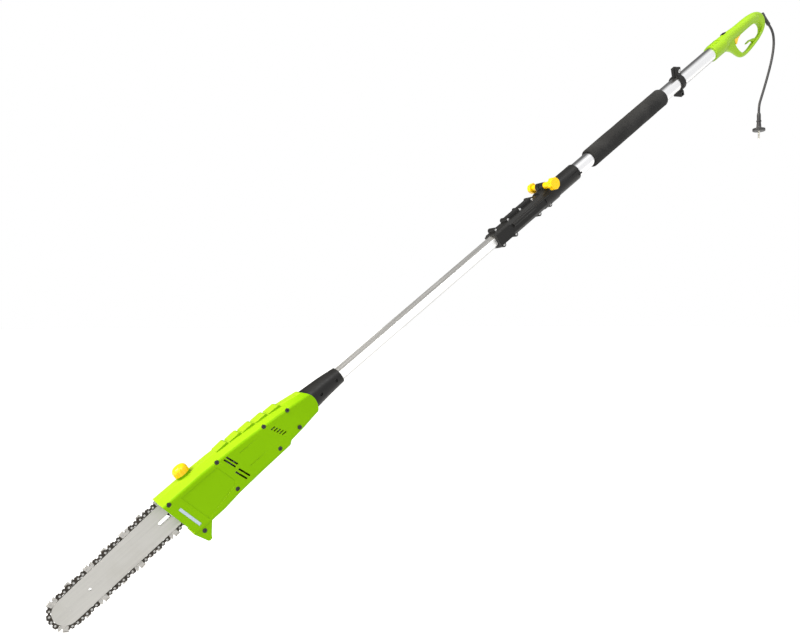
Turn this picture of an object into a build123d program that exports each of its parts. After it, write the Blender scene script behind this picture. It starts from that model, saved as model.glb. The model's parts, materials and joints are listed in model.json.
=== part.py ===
from build123d import *
import os
from math import asin, atan2, cos, degrees, hypot, pi, radians, sin, sqrt, tan

# Telescoping pole saw, in millimetres.
# Everything but the hanging cord is drawn in the saw's own frame: X runs along the pole from the
# chain's nose to the rear handle, Y points to the sprocket side and Z to the top of the saw.
# place() then tilts the saw about the middle of the foam grip, where the front hand holds it.

# ---- pole ----
INCLINE = degrees(asin(0.6))
GRIP_CENTRE_X = 1624.0
GRIP_LENGTH = 298.0
GRIP_RADIUS = 23.2
UPPER_RADIUS = 17.25
UPPER_WALL = 1.4
UPPER_START_X = 1292.0
UPPER_END_X = 2040.0
HEX_FLATS = 25.6
HEX_WALL = 1.5
HEX_CORNER = 3.0
LOWER_START_X = 586.0
LOWER_END_X = 1625.0
SLIDE_GAP = 0.3
RUN_GAP = 0.08

# ---- bar and chain, in the bar's frame: X from the chain's nose along the bar ----
BAR_Y = 19.0
BAR_TIP_Z = -11.5
BAR_TILT = 3.0
PITCH = 9.525
DRIVE_LINKS = 39
NOSE_X = 35.0
NOSE_R = 27.7
SHOULDER_X = 248.0
SHOULDER_HALF = 31.1
SHOULDER_R = 70.0
SPROCKET_TEETH = 6
SPROCKET_R = PITCH / (2 * sin(pi / (2 * SPROCKET_TEETH)))
RIVET_TO_RAIL = 3.85
BAR_THICK = 4.0
BAR_END_X = 292.0
GROOVE = 1.5
GAUGE = 1.3
STRAP_THICK = 1.2
RIVET_R = 1.5
RIVET_HEAD = 0.45
RIVET_HEAD_HIGH = 0.6
RIVET_HOLE_GAP = 0.1
DEPTH_REACH = 3.5
SLOT_START_X = 231.0
SLOT_HALF = 3.7
STUD_X = (263.0, 281.0)
STUD_R = 3.5
TENSION_X = 272.0
TENSION_Z = -14.0
TENSION_Y = 28.5
TENSION_SCREW_R = 2.5
TENSION_HEAD_R = 3.0
TENSION_HOLE_R = 3.4
TIP_HOLE_X = 83.0
BAR_RIVETS = ((30.6, 4.4), (30.6, -4.4), (39.4, 4.4), (39.4, -4.4))
BAR_RIVET_R = 1.4
NOSE_WHEEL_R = 20.6
NOSE_HUB_R = 8.0
NOSE_TEETH = 9

# ---- saw head ----
NECK_Z = 1.6
NECK_SCREWS_X = (600.0, 641.0)
SPIGOT_R = 19.4
HEAD_WALL = 2.6
FRONT_WALL = 3.2
FRONT_TOP_X = 247.1
FRONT_LOW_X = 269.1
COVER_PLANE_Y = 14.0
COVER_REAR_X = 363.0
MOTOR_Y = -4.0
STATOR_R = 27.0
SCREW_SEAT_Y = -35.0
CAP_X = 315.0
# each section: x, half width, lowest z, highest z
HEAD_SECTIONS = [(240.0, 36.0, -41.5, 45.5), (300.0, 36.0, -41.5, 46.0), (332.0, 36.0, -41.0, 46.5),
                 (368.0, 36.0, -37.0, 46.0), (420.0, 36.0, -34.5, 43.5), (470.0, 35.0, -33.5, 39.5),
                 (493.0, 34.2, -33.0, 37.3), (500.0, 34.0, -27.5, 36.7), (535.0, 32.0, -25.0, 32.5),
                 (562.0, 28.5, -22.5, 28.3), (590.0, 25.0, -21.0, 24.0)]
CROWN_HALF = 14.0
CROWN_DROP = 9.0
SPIKE = [(263.6, -38), (275.0, -64.5), (278.0, -67.0), (283.0, -66.0), (286.5, -60.0), (304.0, -38)]
PAD_STARTS = (382.0, 411.0, 440.0, 469.0, 498.0)
PAD_LENGTH = 26.0
TOP_SCREWS = ((263.0, 33.0), (369.0, 35.5), (473.0, 29.5), (526.0, 24.0))
LOW_SCREWS = ((281.5, -46.0), (369.0, -27.5), (473.0, -23.5), (526.0, -17.5))
VENTS = ((391.5, 20.0), (385.5, 19.0), (396.0, -12.0), (388.5, -12.5))
SHORT_VENTS = 5
SHORT_VENT_X = 484.5
SHORT_VENT_Z = 15.5
SIDE_PANEL = ((285, 28.5), (364, 28.5), (374, -11), (368, -19), (300, -34.5))
PANEL_Y = -35.2
SEAM_Z = (21.5, -10.0)
SCREW_BOSS_R = 5.4
SCREW_HOLE_R = 1.9
BEARING_R = 11.0
FILLER_R = 8.4
COVER_SLOT_Y = 24.0
COVER_SLOT_Z = (-38.6, 41.0)
COVER_FLANK_Y = 36.2

# ---- oil system ----
WINDOW_X = 277.0
WINDOW_Z = -8.0
WINDOW_TURN = -12.5
WINDOW_HALF_X = 2.7
WINDOW_HALF_Z = 24.0
TANK_GAP = 0.4
TANK_NECK_R = 8.3
TANK_NECK_BORE = 6.3
CAP_R = 14.6
CAP_LOW_Z = 51.0
CAP_HIGH_Z = 67.5
CAP_ROUND = 9.0
CAP_FLUTES = 12
CAP_FLUTE_R = 2.0
CAP_FLUTE_AT = 15.8
PUMP_R = 10.7

# ---- motor: places along the pole, and radii about the rotor shaft ----
ROTOR_SHAFT_R = 3.5
ROTOR_SHAFT_END_X = 506.0
CORE_X = (402.0, 458.0)
CORE_R = 15.6
CORE_GROOVES = 12
BORE_R = 16.2
COMMUTATOR_X = (470.0, 484.0)
COMMUTATOR_R = 10.5
FAN_X = (384.0, 396.0)
FAN_R = 26.0
FAN_HUB_R = 9.0
FAN_BLADES = 9
COIL_X = ((459.0, 465.0), (397.0, 401.0))
MOTOR_BEARING_R = 9.5
MOTOR_BEARING_X = ((370.0, 377.0), (492.0, 499.0))
END_FRAME_X = ((369.0, 378.0), (491.0, 500.0))
BRUSH_X = (473.5, 480.5)

# ---- bevel drive ----
OUTPUT_SHAFT_R = 5.0
OUTPUT_SHAFT_Y = (-21.5, 27.0)
OUTPUT_BEARING_Y = ((-22.5, -15.5), (8.4, 13.8))
SPROCKET_HUB_R = 9.0
SPROCKET_RIM_R = 13.6
SPROCKET_RIM = 1.2
GEAR_TEETH = 36
PINION_TEETH = 12
GEAR_PITCH_R = 24.0
TOOTH_FACE = 7.0
TOOTH_FILL = 0.86
PRESSURE_ANGLE = 20.0

# ---- coupling ----
COUPLING_START_X = 1124.0
COUPLING_END_X = 1336.0
COUPLING_STEP_X = 1290.0
COUPLING_OUTLINE = ((-20, -10), (-13, -17.5), (13, -17.5), (20, -10), (20, 10), (13, 17.5), (-13, 17.5),
                    (-20, 10))
COUPLING_ROUND = 5.0
SLEEVE_X = 1288.0
COUPLING_SLEEVE_R = 22.0
LUG_HOLE_R = 1.6
LUG_HEAD_R = 3.0
LUG_HEAD_DEEP = 0.8
COLLAR_R = 20.2
COLLAR_END_X = 1415.0
CLAMP_BOLT_X = 1312.0
CLAMP_BOLT_Z = 25.0
CLAMP_BOLT_R = 4.0
NEAR_KNOB_Y = -49.0
NEAR_KNOB_R = 14.4
NEAR_KNOB_DEEP = 12.0
FAR_KNOB_Y = 38.0
FAR_KNOB_R = 12.0
FAR_KNOB_DEEP = 11.0
KNOB_LOBE_R = 4.2
KNOB_LOBE_DEPTH = 1.3
KNOB_DROP = 2.0
KNOB_ROUND = 0.8
EAR_Y = 13.0
EAR_R = 8.5
TOP_LUGS = (1140.0, 1181.5, 1223.0, 1264.5)
LOW_LUGS = (1140.0, 1181.5, 1264.5, 1303.5)
LUG_Z = 19.1
LUG_R = 5.8
LUG_Y = 8.0

# ---- strap clamp ----
STRAP_X = 1850.0
STRAP_WIDTH = 13.0
STRAP_TURN = 20.0
STRAP_EAR_Y = 9.5
STRAP_EAR_Z = 41.0
STRAP_BOLT_Z = 33.0
STRAP_EYE_R = 3.5
STRAP_EYE_Z = -29.5
STRAP_FOOT = ((-7, -16), (7, -16), (7.5, -20), (11, -23.5), (11, -35.5), (-11, -35.5), (-11, -23.5),
              (-7.5, -20))

# ---- rear handle ----
HANDLE_START_X = 2006.0
SLEEVE_R = 20.5
LOOP_HALF = 9.0
LOOP_OUTER_ROUND = 8.0
LOOP_INNER_ROUND = 4.0
# each station: x, half width, half height, z of its middle
GRIP_STATIONS = [(2052.0, 20.5, 20.5, 0.0), (2078.0, 17.6, 17.3, 3.0), (2104.0, 15.2, 14.8, 4.2),
                 (2150.0, 14.6, 14.2, 3.2), (2190.0, 14.0, 13.6, 2.8), (2214.0, 12.4, 13.0, 0.5),
                 (2234.0, 9.6, 10.5, -5.0)]
GRIP_RIBS = (2014.0, 2028.0, 2042.0)
# the loop's outer and finger outlines, in x and z
HANDLE_OUTLINE = [(2058, 20.6), (2085, 20.8), (2125, 18.2), (2185, 17.2), (2214, 15.0), (2240, 8.5),
                  (2255, -3.5), (2258.5, -18), (2252, -34), (2234, -47), (2206, -56.5), (2166, -63.5),
                  (2132, -66.5), (2111, -63), (2098, -51), (2086, -36), (2072, -25.5), (2052, -20.8)]
FINGER_OUTLINE = [(2112, -10.5), (2140, -11.2), (2190, -10.8), (2215, -13.5), (2229, -21), (2232, -33),
                  (2222, -42.5), (2200, -48.5), (2162, -55), (2134, -57.5), (2116, -53), (2107, -41),
                  (2103, -25), (2105, -14)]
# the cord hook inside the loop
HOOK_OUTLINE = ((2196, -50), (2186, -44), (2168, -40.5), (2152, -41.5), (2150, -44), (2168, -44.5),
                (2176, -47), (2180, -53))
HOOK_HALF = 3.0
HANDLE_SCREWS = ((2049.0, 14.5), (2049.0, -14.5), (2088.0, -9.0), (2218.0, 0.0), (2120.0, -61.5))
PIVOT_X = 2150.0
PIVOT_Z = 3.0
PIVOT_R = 2.0
PIVOT_HALF_LENGTH = 12.0
LEAD_WAY_R = 3.5
TRIGGER_OUTLINE = ((2106.5, -2.0), (2109.0, 2.0), (2140, 1.0), (2146, 7.5), (2154, 7.5), (2155, -1.0),
                   (2150, -4.5), (2138, -12.0), (2124, -16.0), (2112, -24.5), (2107.2, -24.0),
                   (2108.5, -14.0))
TRIGGER_HALF = 5.6
SPRING_PITCH = 2.1
SPRING_HEIGHT = 8.4
SPRING_R = 2.6
SPRING_WIRE_R = 0.4
SPRING_SEAT = (2122.0, 2.8)
LOCK_X = 2083.0
LOCK_HALF_X = 6.8
LOCK_HALF_Y = 4.4
LOCK_TOP_Z = 22.4
LOCK_GROOVES = 3

# ---- cord and plug, in the row's frame: X and Z of each point, Y is 0 ----
CORD_R = 3.3
CORD_POINTS = [(545.0, 353.0), (553.7, 346.2), (561.1, 336.8), (566.9, 323.0), (568.0, 297.0),
               (559.5, 258.5), (545.5, 220.0), (529.0, 179.0), (512.5, 142.0), (503.0, 120.0),
               (503.0, 100.0)]
PLUG_TURN = 36.2
PIN_R = 2.4
PIN_SPACING = 19.0
PLUG_STEM = ((0, 0), (4.2, 0), (5.2, -6), (5.2, -20), (6.6, -21), (6.6, -24), (5.4, -25), (6.4, -38),
             (9.0, -44), (0, -44))
PLUG_FLANGE = (37.0, 33.0)
PLUG_FLANGE_DEEP = 7.0
PLUG_FACE_Z = -50.0
PIN_LENGTH = 19.0
RELIEF_LENGTH = 38.0


# ---------------------------------------------------------------- helpers
def place(shape):
    return Rot(0, -INCLINE, 0) * (Pos(-GRIP_CENTRE_X, 0, 0) * shape)


def solids_of(shape):
    if isinstance(shape, (list, tuple)):
        found = []
        for item in shape:
            found.extend(solids_of(item))
        return found
    return list(shape.solids())


def save(node, shape, tilt=True):
    pieces = solids_of(shape)
    whole = pieces[0] if len(pieces) == 1 else Compound(children=pieces)
    if tilt:
        whole = place(whole)
    export_step(whole, "parts/" + node + ".step")
    print(node, len(pieces))


def poly(points):
    return make_face(Polyline(*points, close=True))


def slab(face, y_low, y_high):
    """A face drawn in X and Z, made solid from y_low to y_high."""
    return Pos(0, y_high, 0) * extrude(Plane.XZ * face, amount=y_high - y_low)


def rod_y(radius, y_low, y_high, x, z):
    return Pos(x, (y_low + y_high) / 2, z) * (Rot(-90, 0, 0) * Cylinder(radius, y_high - y_low))


def rod_x(radius, x_low, x_high, y=0.0, z=0.0):
    return Pos((x_low + x_high) / 2, y, z) * (Rot(0, 90, 0) * Cylinder(radius, x_high - x_low))


def rod_z(radius, z_low, z_high, x, y=0.0):
    return Pos(x, y, (z_low + z_high) / 2) * Cylinder(radius, z_high - z_low)


def tube_x(outer, inner, x_low, x_high, y=0.0, z=0.0):
    return rod_x(outer, x_low, x_high, y, z) - rod_x(inner, x_low - 1, x_high + 1, y, z)


def ring_y(outer, inner, y_low, y_high, x, z):
    return rod_y(outer, y_low, y_high, x, z) - rod_y(inner, y_low - 1, y_high + 1, x, z)


def block(x_low, x_high, y_low, y_high, z_low, z_high):
    centre = ((x_low + x_high) / 2, (y_low + y_high) / 2, (z_low + z_high) / 2)
    return Pos(*centre) * Box(x_high - x_low, y_high - y_low, z_high - z_low)


def near_side(shape):
    return shape & block(-100, 2400, -200, 0, -300, 300)


def far_side(shape):
    return shape & block(-100, 2400, 0, 200, -300, 300)


def cross_plane(x):
    return Plane(origin=(x, 0, 0), x_dir=(0, 1, 0), z_dir=(1, 0, 0))


def hex_rod(flats, x_low, x_high, corner=HEX_CORNER):
    """A rounded hexagon along X with two of its flats facing +Y and -Y."""
    outline = RegularPolygon(flats / sqrt(3), 6, rotation=30)
    outline = fillet(outline.vertices(), corner)
    wide = outline.bounding_box().size.X
    if abs(wide - flats) > 0.5:
        outline = Rot(0, 0, 30) * outline
    return extrude(cross_plane(x_low) * outline, amount=x_high - x_low)


def screw_y(x, z, seat_y, tip_y, head_r, shank_r, head_high):
    """A pan screw driven towards +Y, with a cross recess in its head."""
    head = rod_y(head_r, seat_y - head_high, seat_y, x, z)
    shank = rod_y(shank_r, seat_y, tip_y, x, z)
    slot_a = block(x - head_r * 0.6, x + head_r * 0.6, seat_y - head_high - 1,
                   seat_y - head_high * 0.45, z - 0.45, z + 0.45)
    slot_b = block(x - 0.45, x + 0.45, seat_y - head_high - 1,
                   seat_y - head_high * 0.45, z - head_r * 0.6, z + head_r * 0.6)
    return head + shank - slot_a - slot_b


# ---------------------------------------------------------------- bar and chain
def bar_place(shape):
    return Pos(0, BAR_Y, BAR_TIP_Z) * (Rot(0, -BAR_TILT, 0) * shape)


def bar_point(x, z):
    t = radians(BAR_TILT)
    return (x * cos(t) - z * sin(t), BAR_TIP_Z + x * sin(t) + z * cos(t))


def upper_tangent(first, second):
    """The line above two circles (x, z, r): its two touching points."""
    dx = second[0] - first[0]
    dz = second[1] - first[1]
    dist = hypot(dx, dz)
    tilt = atan2(dz, dx) + asin((second[2] - first[2]) / dist)
    normal = (-sin(tilt), cos(tilt))
    return [(c[0] + normal[0] * c[2], c[1] + normal[1] * c[2]) for c in (first, second)]


def loop_circles(inset, sprocket_x):
    nose = (NOSE_X, 0.0, NOSE_R - inset)
    shoulder = (SHOULDER_X, SHOULDER_HALF - SHOULDER_R, SHOULDER_R - inset)
    tail = (sprocket_x, 0.0, SPROCKET_R - inset)
    return nose, shoulder, tail


def loop_length(sprocket_x):
    nose, shoulder, tail = loop_circles(0.0, sprocket_x)
    a, b = upper_tangent(nose, shoulder)
    c, d = upper_tangent(shoulder, tail)
    nose_turn = pi - atan2(a[1], a[0] - nose[0])
    shoulder_turn = (atan2(b[1] - shoulder[1], b[0] - shoulder[0])
                     - atan2(c[1] - shoulder[1], c[0] - shoulder[0]))
    tail_turn = atan2(d[1], d[0] - tail[0])
    side = hypot(b[0] - a[0], b[1] - a[1]) + hypot(d[0] - c[0], d[1] - c[1])
    return 2 * (nose_turn * nose[2] + shoulder_turn * shoulder[2] + tail_turn * tail[2] + side)


def fitted_sprocket_x():
    """The sprocket's place that makes the loop a whole number of chain pitches."""
    low = SHOULDER_X + 40
    high = SHOULDER_X + 110
    for _ in range(60):
        middle = (low + high) / 2
        if loop_length(middle) < DRIVE_LINKS * 2 * PITCH:
            low = middle
        else:
            high = middle
    return (low + high) / 2


SPROCKET_X = fitted_sprocket_x()
SHAFT_X, SHAFT_Z = bar_point(SPROCKET_X, 0.0)


def loop_pieces():
    """The rivet line of the chain, from the nose over the top, round the sprocket and back."""
    nose, shoulder, tail = loop_circles(0.0, SPROCKET_X)
    a, b = upper_tangent(nose, shoulder)
    c, d = upper_tangent(shoulder, tail)
    low_shoulder = (shoulder[0], -shoulder[1], shoulder[2])

    def angle(point, circle):
        return atan2(point[1] - circle[1], point[0] - circle[0])

    def mirrored(point):
        return (point[0], -point[1])

    return [("arc", nose, pi, angle(a, nose)),
            ("line", a, b),
            ("arc", shoulder, angle(b, shoulder), angle(c, shoulder)),
            ("line", c, d),
            ("arc", tail, angle(d, tail), -angle(d, tail)),
            ("line", mirrored(d), mirrored(c)),
            ("arc", low_shoulder, -angle(c, shoulder), -angle(b, shoulder)),
            ("line", mirrored(b), mirrored(a)),
            ("arc", nose, -angle(a, nose), -pi)]


def loop_point(distance, pieces):
    """The point that lies this far along the rivet line."""
    for piece in pieces:
        if piece[0] == "line":
            start, end = piece[1], piece[2]
            length = hypot(end[0] - start[0], end[1] - start[1])
            if distance <= length:
                part = distance / length
                return (start[0] + (end[0] - start[0]) * part, start[1] + (end[1] - start[1]) * part)
        else:
            circle, begin, finish = piece[1], piece[2], piece[3]
            length = abs(begin - finish) * circle[2]
            if distance <= length:
                turn = begin - distance / circle[2]
                return (circle[0] + circle[2] * cos(turn), circle[1] + circle[2] * sin(turn))
        distance -= length
    return (pieces[0][1][0] - pieces[0][1][2], 0.0)


def rivet_points():
    pieces = loop_pieces()
    step = loop_length(SPROCKET_X) / (2 * DRIVE_LINKS)
    return [loop_point(step * (i + 0.5), pieces) for i in range(2 * DRIVE_LINKS)]


def link_frame(start, end):
    """Places a link drawn between (0, 0) and (PITCH, 0), its outer side towards +Z."""
    turn = degrees(atan2(end[1] - start[1], end[0] - start[0]))
    middle = ((start[0] + end[0]) / 2, (start[1] + end[1]) / 2)
    return Pos(middle[0], 0, middle[1]) * (Rot(0, -turn, 0) * Pos(-PITCH / 2, 0, 0))


def rivet_holes(plate):
    for x in (0, PITCH):
        plate = plate - rod_y(RIVET_R + RIVET_HOLE_GAP, -5, 5, x, 0)
    return plate


def side_plate(outline, side):
    """A link plate that lies against the drive link on one side of the chain."""
    low = GAUGE / 2 if side > 0 else -GAUGE / 2 - STRAP_THICK
    return rivet_holes(slab(poly(outline), low, low + STRAP_THICK))


def drive_link():
    """The tang runs in the groove; the bumper rises between two side plates."""
    outline = [(-3.0, -2.6), (1.2, -3.4), (3.2, -6.2), (PITCH - 3.2, -6.2), (PITCH - 1.2, -3.4),
               (PITCH + 3.0, -2.6), (PITCH + 3.0, 1.2), (PITCH + 1.0, 2.6), (PITCH - 1.8, 5.2),
               (PITCH - 3.4, 5.4), (3.0, 2.6), (-1.2, 2.6), (-3.0, 1.2)]
    return rivet_holes(slab(poly(outline), -GAUGE / 2, GAUGE / 2))


def tie_strap(side):
    """A dumb-bell plate: a round lobe at each rivet and a waist between them."""
    foot = [(-3.5, -2.2), (-2.2, -3.4), (1.8, -3.4), (3.2, -2.0), (PITCH - 3.2, -2.0),
            (PITCH - 1.8, -3.4), (PITCH + 2.2, -3.4), (PITCH + 3.5, -2.2)]
    crown = [(PITCH + 3.6, 1.6), (PITCH + 1.9, 4.3), (PITCH - 1.5, 4.4), (PITCH - 3.1, 1.7), (3.1, 1.7),
             (1.5, 4.4), (-1.9, 4.3), (-3.6, 1.6)]
    return side_plate(foot + crown, side)


def cutter(side):
    """A cutting link: side plate with depth gauge, and a top plate that leans out over the kerf."""
    foot = [(-3.3, -2.2), (-2.0, -3.4), (PITCH + 2.0, -3.4), (PITCH + 3.3, -2.2)]
    gauge = [(PITCH + 3.7, 1.0), (PITCH + 3.5, 5.6), (PITCH + 1.6, 6.4), (PITCH - 0.4, 5.2),
             (PITCH - 1.6, 1.9), (PITCH - 4.2, 1.7)]
    tooth = [(PITCH - 4.6, 6.9), (PITCH - 5.4, 7.3), (-4.4, 6.5), (-4.8, 5.4), (-3.3, 1.0)]
    plate = side_plate(foot + gauge + tooth, side)
    top = poly([(-4.6, 5.5), (PITCH - 5.0, 6.2), (PITCH - 4.7, 7.2), (-4.5, 6.5)])
    low, high = (GAUGE / 2, DEPTH_REACH) if side > 0 else (-DEPTH_REACH, -GAUGE / 2)
    return plate + slab(top, low, high)


def make_chain():
    points = rivet_points()
    count = len(points)
    template = {"drive": drive_link(), "near": tie_strap(-1), "far": tie_strap(1),
                "cut_near": cutter(-1), "cut_far": cutter(1)}
    drives, straps, cutters, rivets = [], [], [], []
    for i in range(count):
        frame = link_frame(points[i], points[(i + 1) % count])
        if i % 2 == 0:
            drives.append(bar_place(frame * template["drive"]))
            continue
        pair = i // 2
        near = "near"
        far = "far"
        if pair % 4 == 1:
            near = "cut_near"
        if pair % 4 == 3:
            far = "cut_far"
        for name in (near, far):
            target = cutters if name.startswith("cut") else straps
            target.append(bar_place(frame * template[name]))
    half = GAUGE / 2 + STRAP_THICK
    for x, z in points:
        shank = rod_y(RIVET_R, -half, half, x, z)
        far_head = rod_y(RIVET_R + RIVET_HEAD, half, half + RIVET_HEAD_HIGH, x, z)
        near_head = rod_y(RIVET_R + RIVET_HEAD, -half - RIVET_HEAD_HIGH, -half, x, z)
        rivets.append(bar_place(shank + far_head + near_head))
    save("chain_drive_links", drives)
    save("chain_tie_straps", straps)
    save("chain_cutters", cutters)
    save("chain_rivets", rivets)


def bar_outline(inset):
    """Rounded nose, two rails that open slightly towards the head, and a square tail."""
    nose, shoulder, _ = loop_circles(RIVET_TO_RAIL + inset, SPROCKET_X)
    a, b = upper_tangent(nose, shoulder)

    def rail(x):
        return shoulder[1] + sqrt(shoulder[2] ** 2 - (x - shoulder[0]) ** 2)

    tail = (BAR_END_X - inset, rail(BAR_END_X - inset))
    middle_x = (b[0] + tail[0]) / 2
    middle = (middle_x, rail(middle_x))
    nose_tip = (nose[0] - nose[2], 0)

    def low(point):
        return (point[0], -point[1])

    edges = [ThreePointArc(low(a), nose_tip, a), Line(a, b), ThreePointArc(b, middle, tail),
             Line(tail, low(tail)), ThreePointArc(low(tail), low(middle), low(b)), Line(low(b), low(a))]
    return make_face(Wire(edges))


def make_bar():
    plate = slab(bar_outline(0.0), -BAR_THICK / 2, BAR_THICK / 2)
    groove = (slab(bar_outline(-2.0), -GROOVE / 2, GROOVE / 2)
              - slab(bar_outline(7.2), -GROOVE / 2, GROOVE / 2))
    pocket = ring_y(NOSE_WHEEL_R + 1.0, NOSE_HUB_R, -GROOVE / 2, GROOVE / 2, NOSE_X, 0)
    slot = (block(SLOT_START_X + SLOT_HALF, BAR_END_X + 5, -5, 5, -SLOT_HALF, SLOT_HALF)
            + rod_y(SLOT_HALF, -5, 5, SLOT_START_X + SLOT_HALF, 0))
    bar = plate - groove - pocket - slot
    bar = bar - rod_y(2.6, -5, 5, TIP_HOLE_X, 0)
    for z in (TENSION_Z, -TENSION_Z):
        bar = bar - rod_y(3.2, -5, 5, TENSION_X, z)
    for x, z in BAR_RIVETS:
        bar = bar - rod_y(BAR_RIVET_R, -5, 5, x, z)
    reach = BAR_THICK / 2 + 0.15
    rivets = [rod_y(BAR_RIVET_R, -reach, reach, x, z) for x, z in BAR_RIVETS]
    save("guide_bar", [bar_place(piece) for piece in [bar] + rivets])
    wheel = ring_y(NOSE_WHEEL_R - 2.6, NOSE_HUB_R + RUN_GAP, -GAUGE / 2, GAUGE / 2, NOSE_X, 0)
    for i in range(NOSE_TEETH):
        turn = 360.0 * i / NOSE_TEETH
        tooth = slab(poly([(NOSE_WHEEL_R - 4, -2.2), (NOSE_WHEEL_R, -1.0), (NOSE_WHEEL_R, 1.0),
                           (NOSE_WHEEL_R - 4, 2.2)]), -GAUGE / 2, GAUGE / 2)
        wheel = wheel + Pos(NOSE_X, 0, 0) * (Rot(0, turn, 0) * tooth)
    save("nose_sprocket", bar_place(wheel))


def make_bar_fixings():
    studs, nuts = [], []
    for x in STUD_X:
        sx, sz = bar_point(x, 0)
        studs.append(rod_y(STUD_R, COVER_PLANE_Y, 46.0, sx, sz)
                     + rod_y(6.5, COVER_PLANE_Y, BAR_Y - BAR_THICK / 2, sx, sz))
        nut = extrude(Plane.XZ * RegularPolygon(7.5, 6), amount=7.0)
        nut = Pos(sx, 43.2, sz) * nut
        collar = rod_y(8.6, 36.2, 37.4, sx, sz)
        nuts.append(nut + collar - rod_y(STUD_R, 30, 50, sx, sz))
    save("bar_studs", studs)
    save("bar_nuts", nuts)
    hx, hz = bar_point(TENSION_X, TENSION_Z)
    peg = rod_y(2.9, BAR_Y - 1.9, TENSION_Y - 2.4, hx, hz)
    peg = peg + block(hx - 4, hx + 4, TENSION_Y - 4.4, TENSION_Y + 4.4, hz - 4.4, hz + 4.4)
    peg = peg - rod_x(TENSION_SCREW_R, hx - 10, hx + 10, TENSION_Y, hz)
    screw = rod_x(TENSION_SCREW_R, 263.0, 297.0, TENSION_Y, hz)
    screw = screw + rod_x(TENSION_HEAD_R, 261.0, 263.0, TENSION_Y, hz)
    screw = screw - block(260, 262, TENSION_Y - 4, TENSION_Y + 4, hz - 0.6, hz + 0.6)
    save("chain_tensioner", [peg, screw])


# ---------------------------------------------------------------- head housing
def head_section(station, inset, corner):
    x, half, low, high = station
    side = half - inset
    crown = CROWN_HALF - inset * 0.4
    drop = CROWN_DROP
    points = [(side, low + inset), (side, high - drop - inset * 0.6), (crown, high - inset),
              (-crown, high - inset), (-side, high - drop - inset * 0.6), (-side, low + inset)]
    outline = poly(points)
    if corner:
        outline = fillet(outline.vertices(), corner)
    return cross_plane(x) * outline


def head_solid(inset, corner):
    return loft([head_section(station, inset, corner) for station in HEAD_SECTIONS], ruled=True)


def front_trim(shift):
    """The solid that lies behind the slanted front face, moved back by shift."""
    face = poly([(FRONT_TOP_X + shift, 60), (FRONT_LOW_X + shift, -50), (700, -50), (700, 60)])
    return slab(face, -60, 60)


def rear_trim(shift):
    """The rounded rear end of the green shells."""
    radius = 31.0 - shift
    return block(200, 553, -60, 60, -80, 80) + rod_y(radius, -60, 60, 553.0, NECK_Z)


def spine_height(x):
    for first, second in zip(HEAD_SECTIONS[:-1], HEAD_SECTIONS[1:]):
        if first[0] <= x <= second[0]:
            part = (x - first[0]) / (second[0] - first[0])
            return first[3] + (second[3] - first[3]) * part
    return HEAD_SECTIONS[-1][3]


def grip_pads():
    """Raised pads along the spine; each rises towards its rear edge and then steps down."""
    pads = None
    for start in PAD_STARTS:
        end = start + PAD_LENGTH
        profile = poly([(start, spine_height(start) - 3), (start, spine_height(start) + 0.6),
                        (end - 3, spine_height(end) + 3.4), (end, spine_height(end) + 1.6),
                        (end + 1, spine_height(end) - 3)])
        pad = slab(profile, -17.0, 17.0)
        pads = pad if pads is None else pads + pad
    return pads


def side_cuts(outer_y, inner_y):
    """Vent slots through the near face."""
    cuts = []
    for x, z in VENTS:
        slot = block(-1.6, 1.6, outer_y, inner_y, -13, 13)
        cuts.append(Pos(x, 0, z) * (Rot(0, -19, 0) * slot))
    for i in range(SHORT_VENTS):
        slot = block(-4.8, 4.8, outer_y, inner_y, -1.3, 1.3)
        cuts.append(Pos(SHORT_VENT_X + 2.9 * i, 0, SHORT_VENT_Z - 5.4 * i) * slot)
    return cuts


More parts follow.
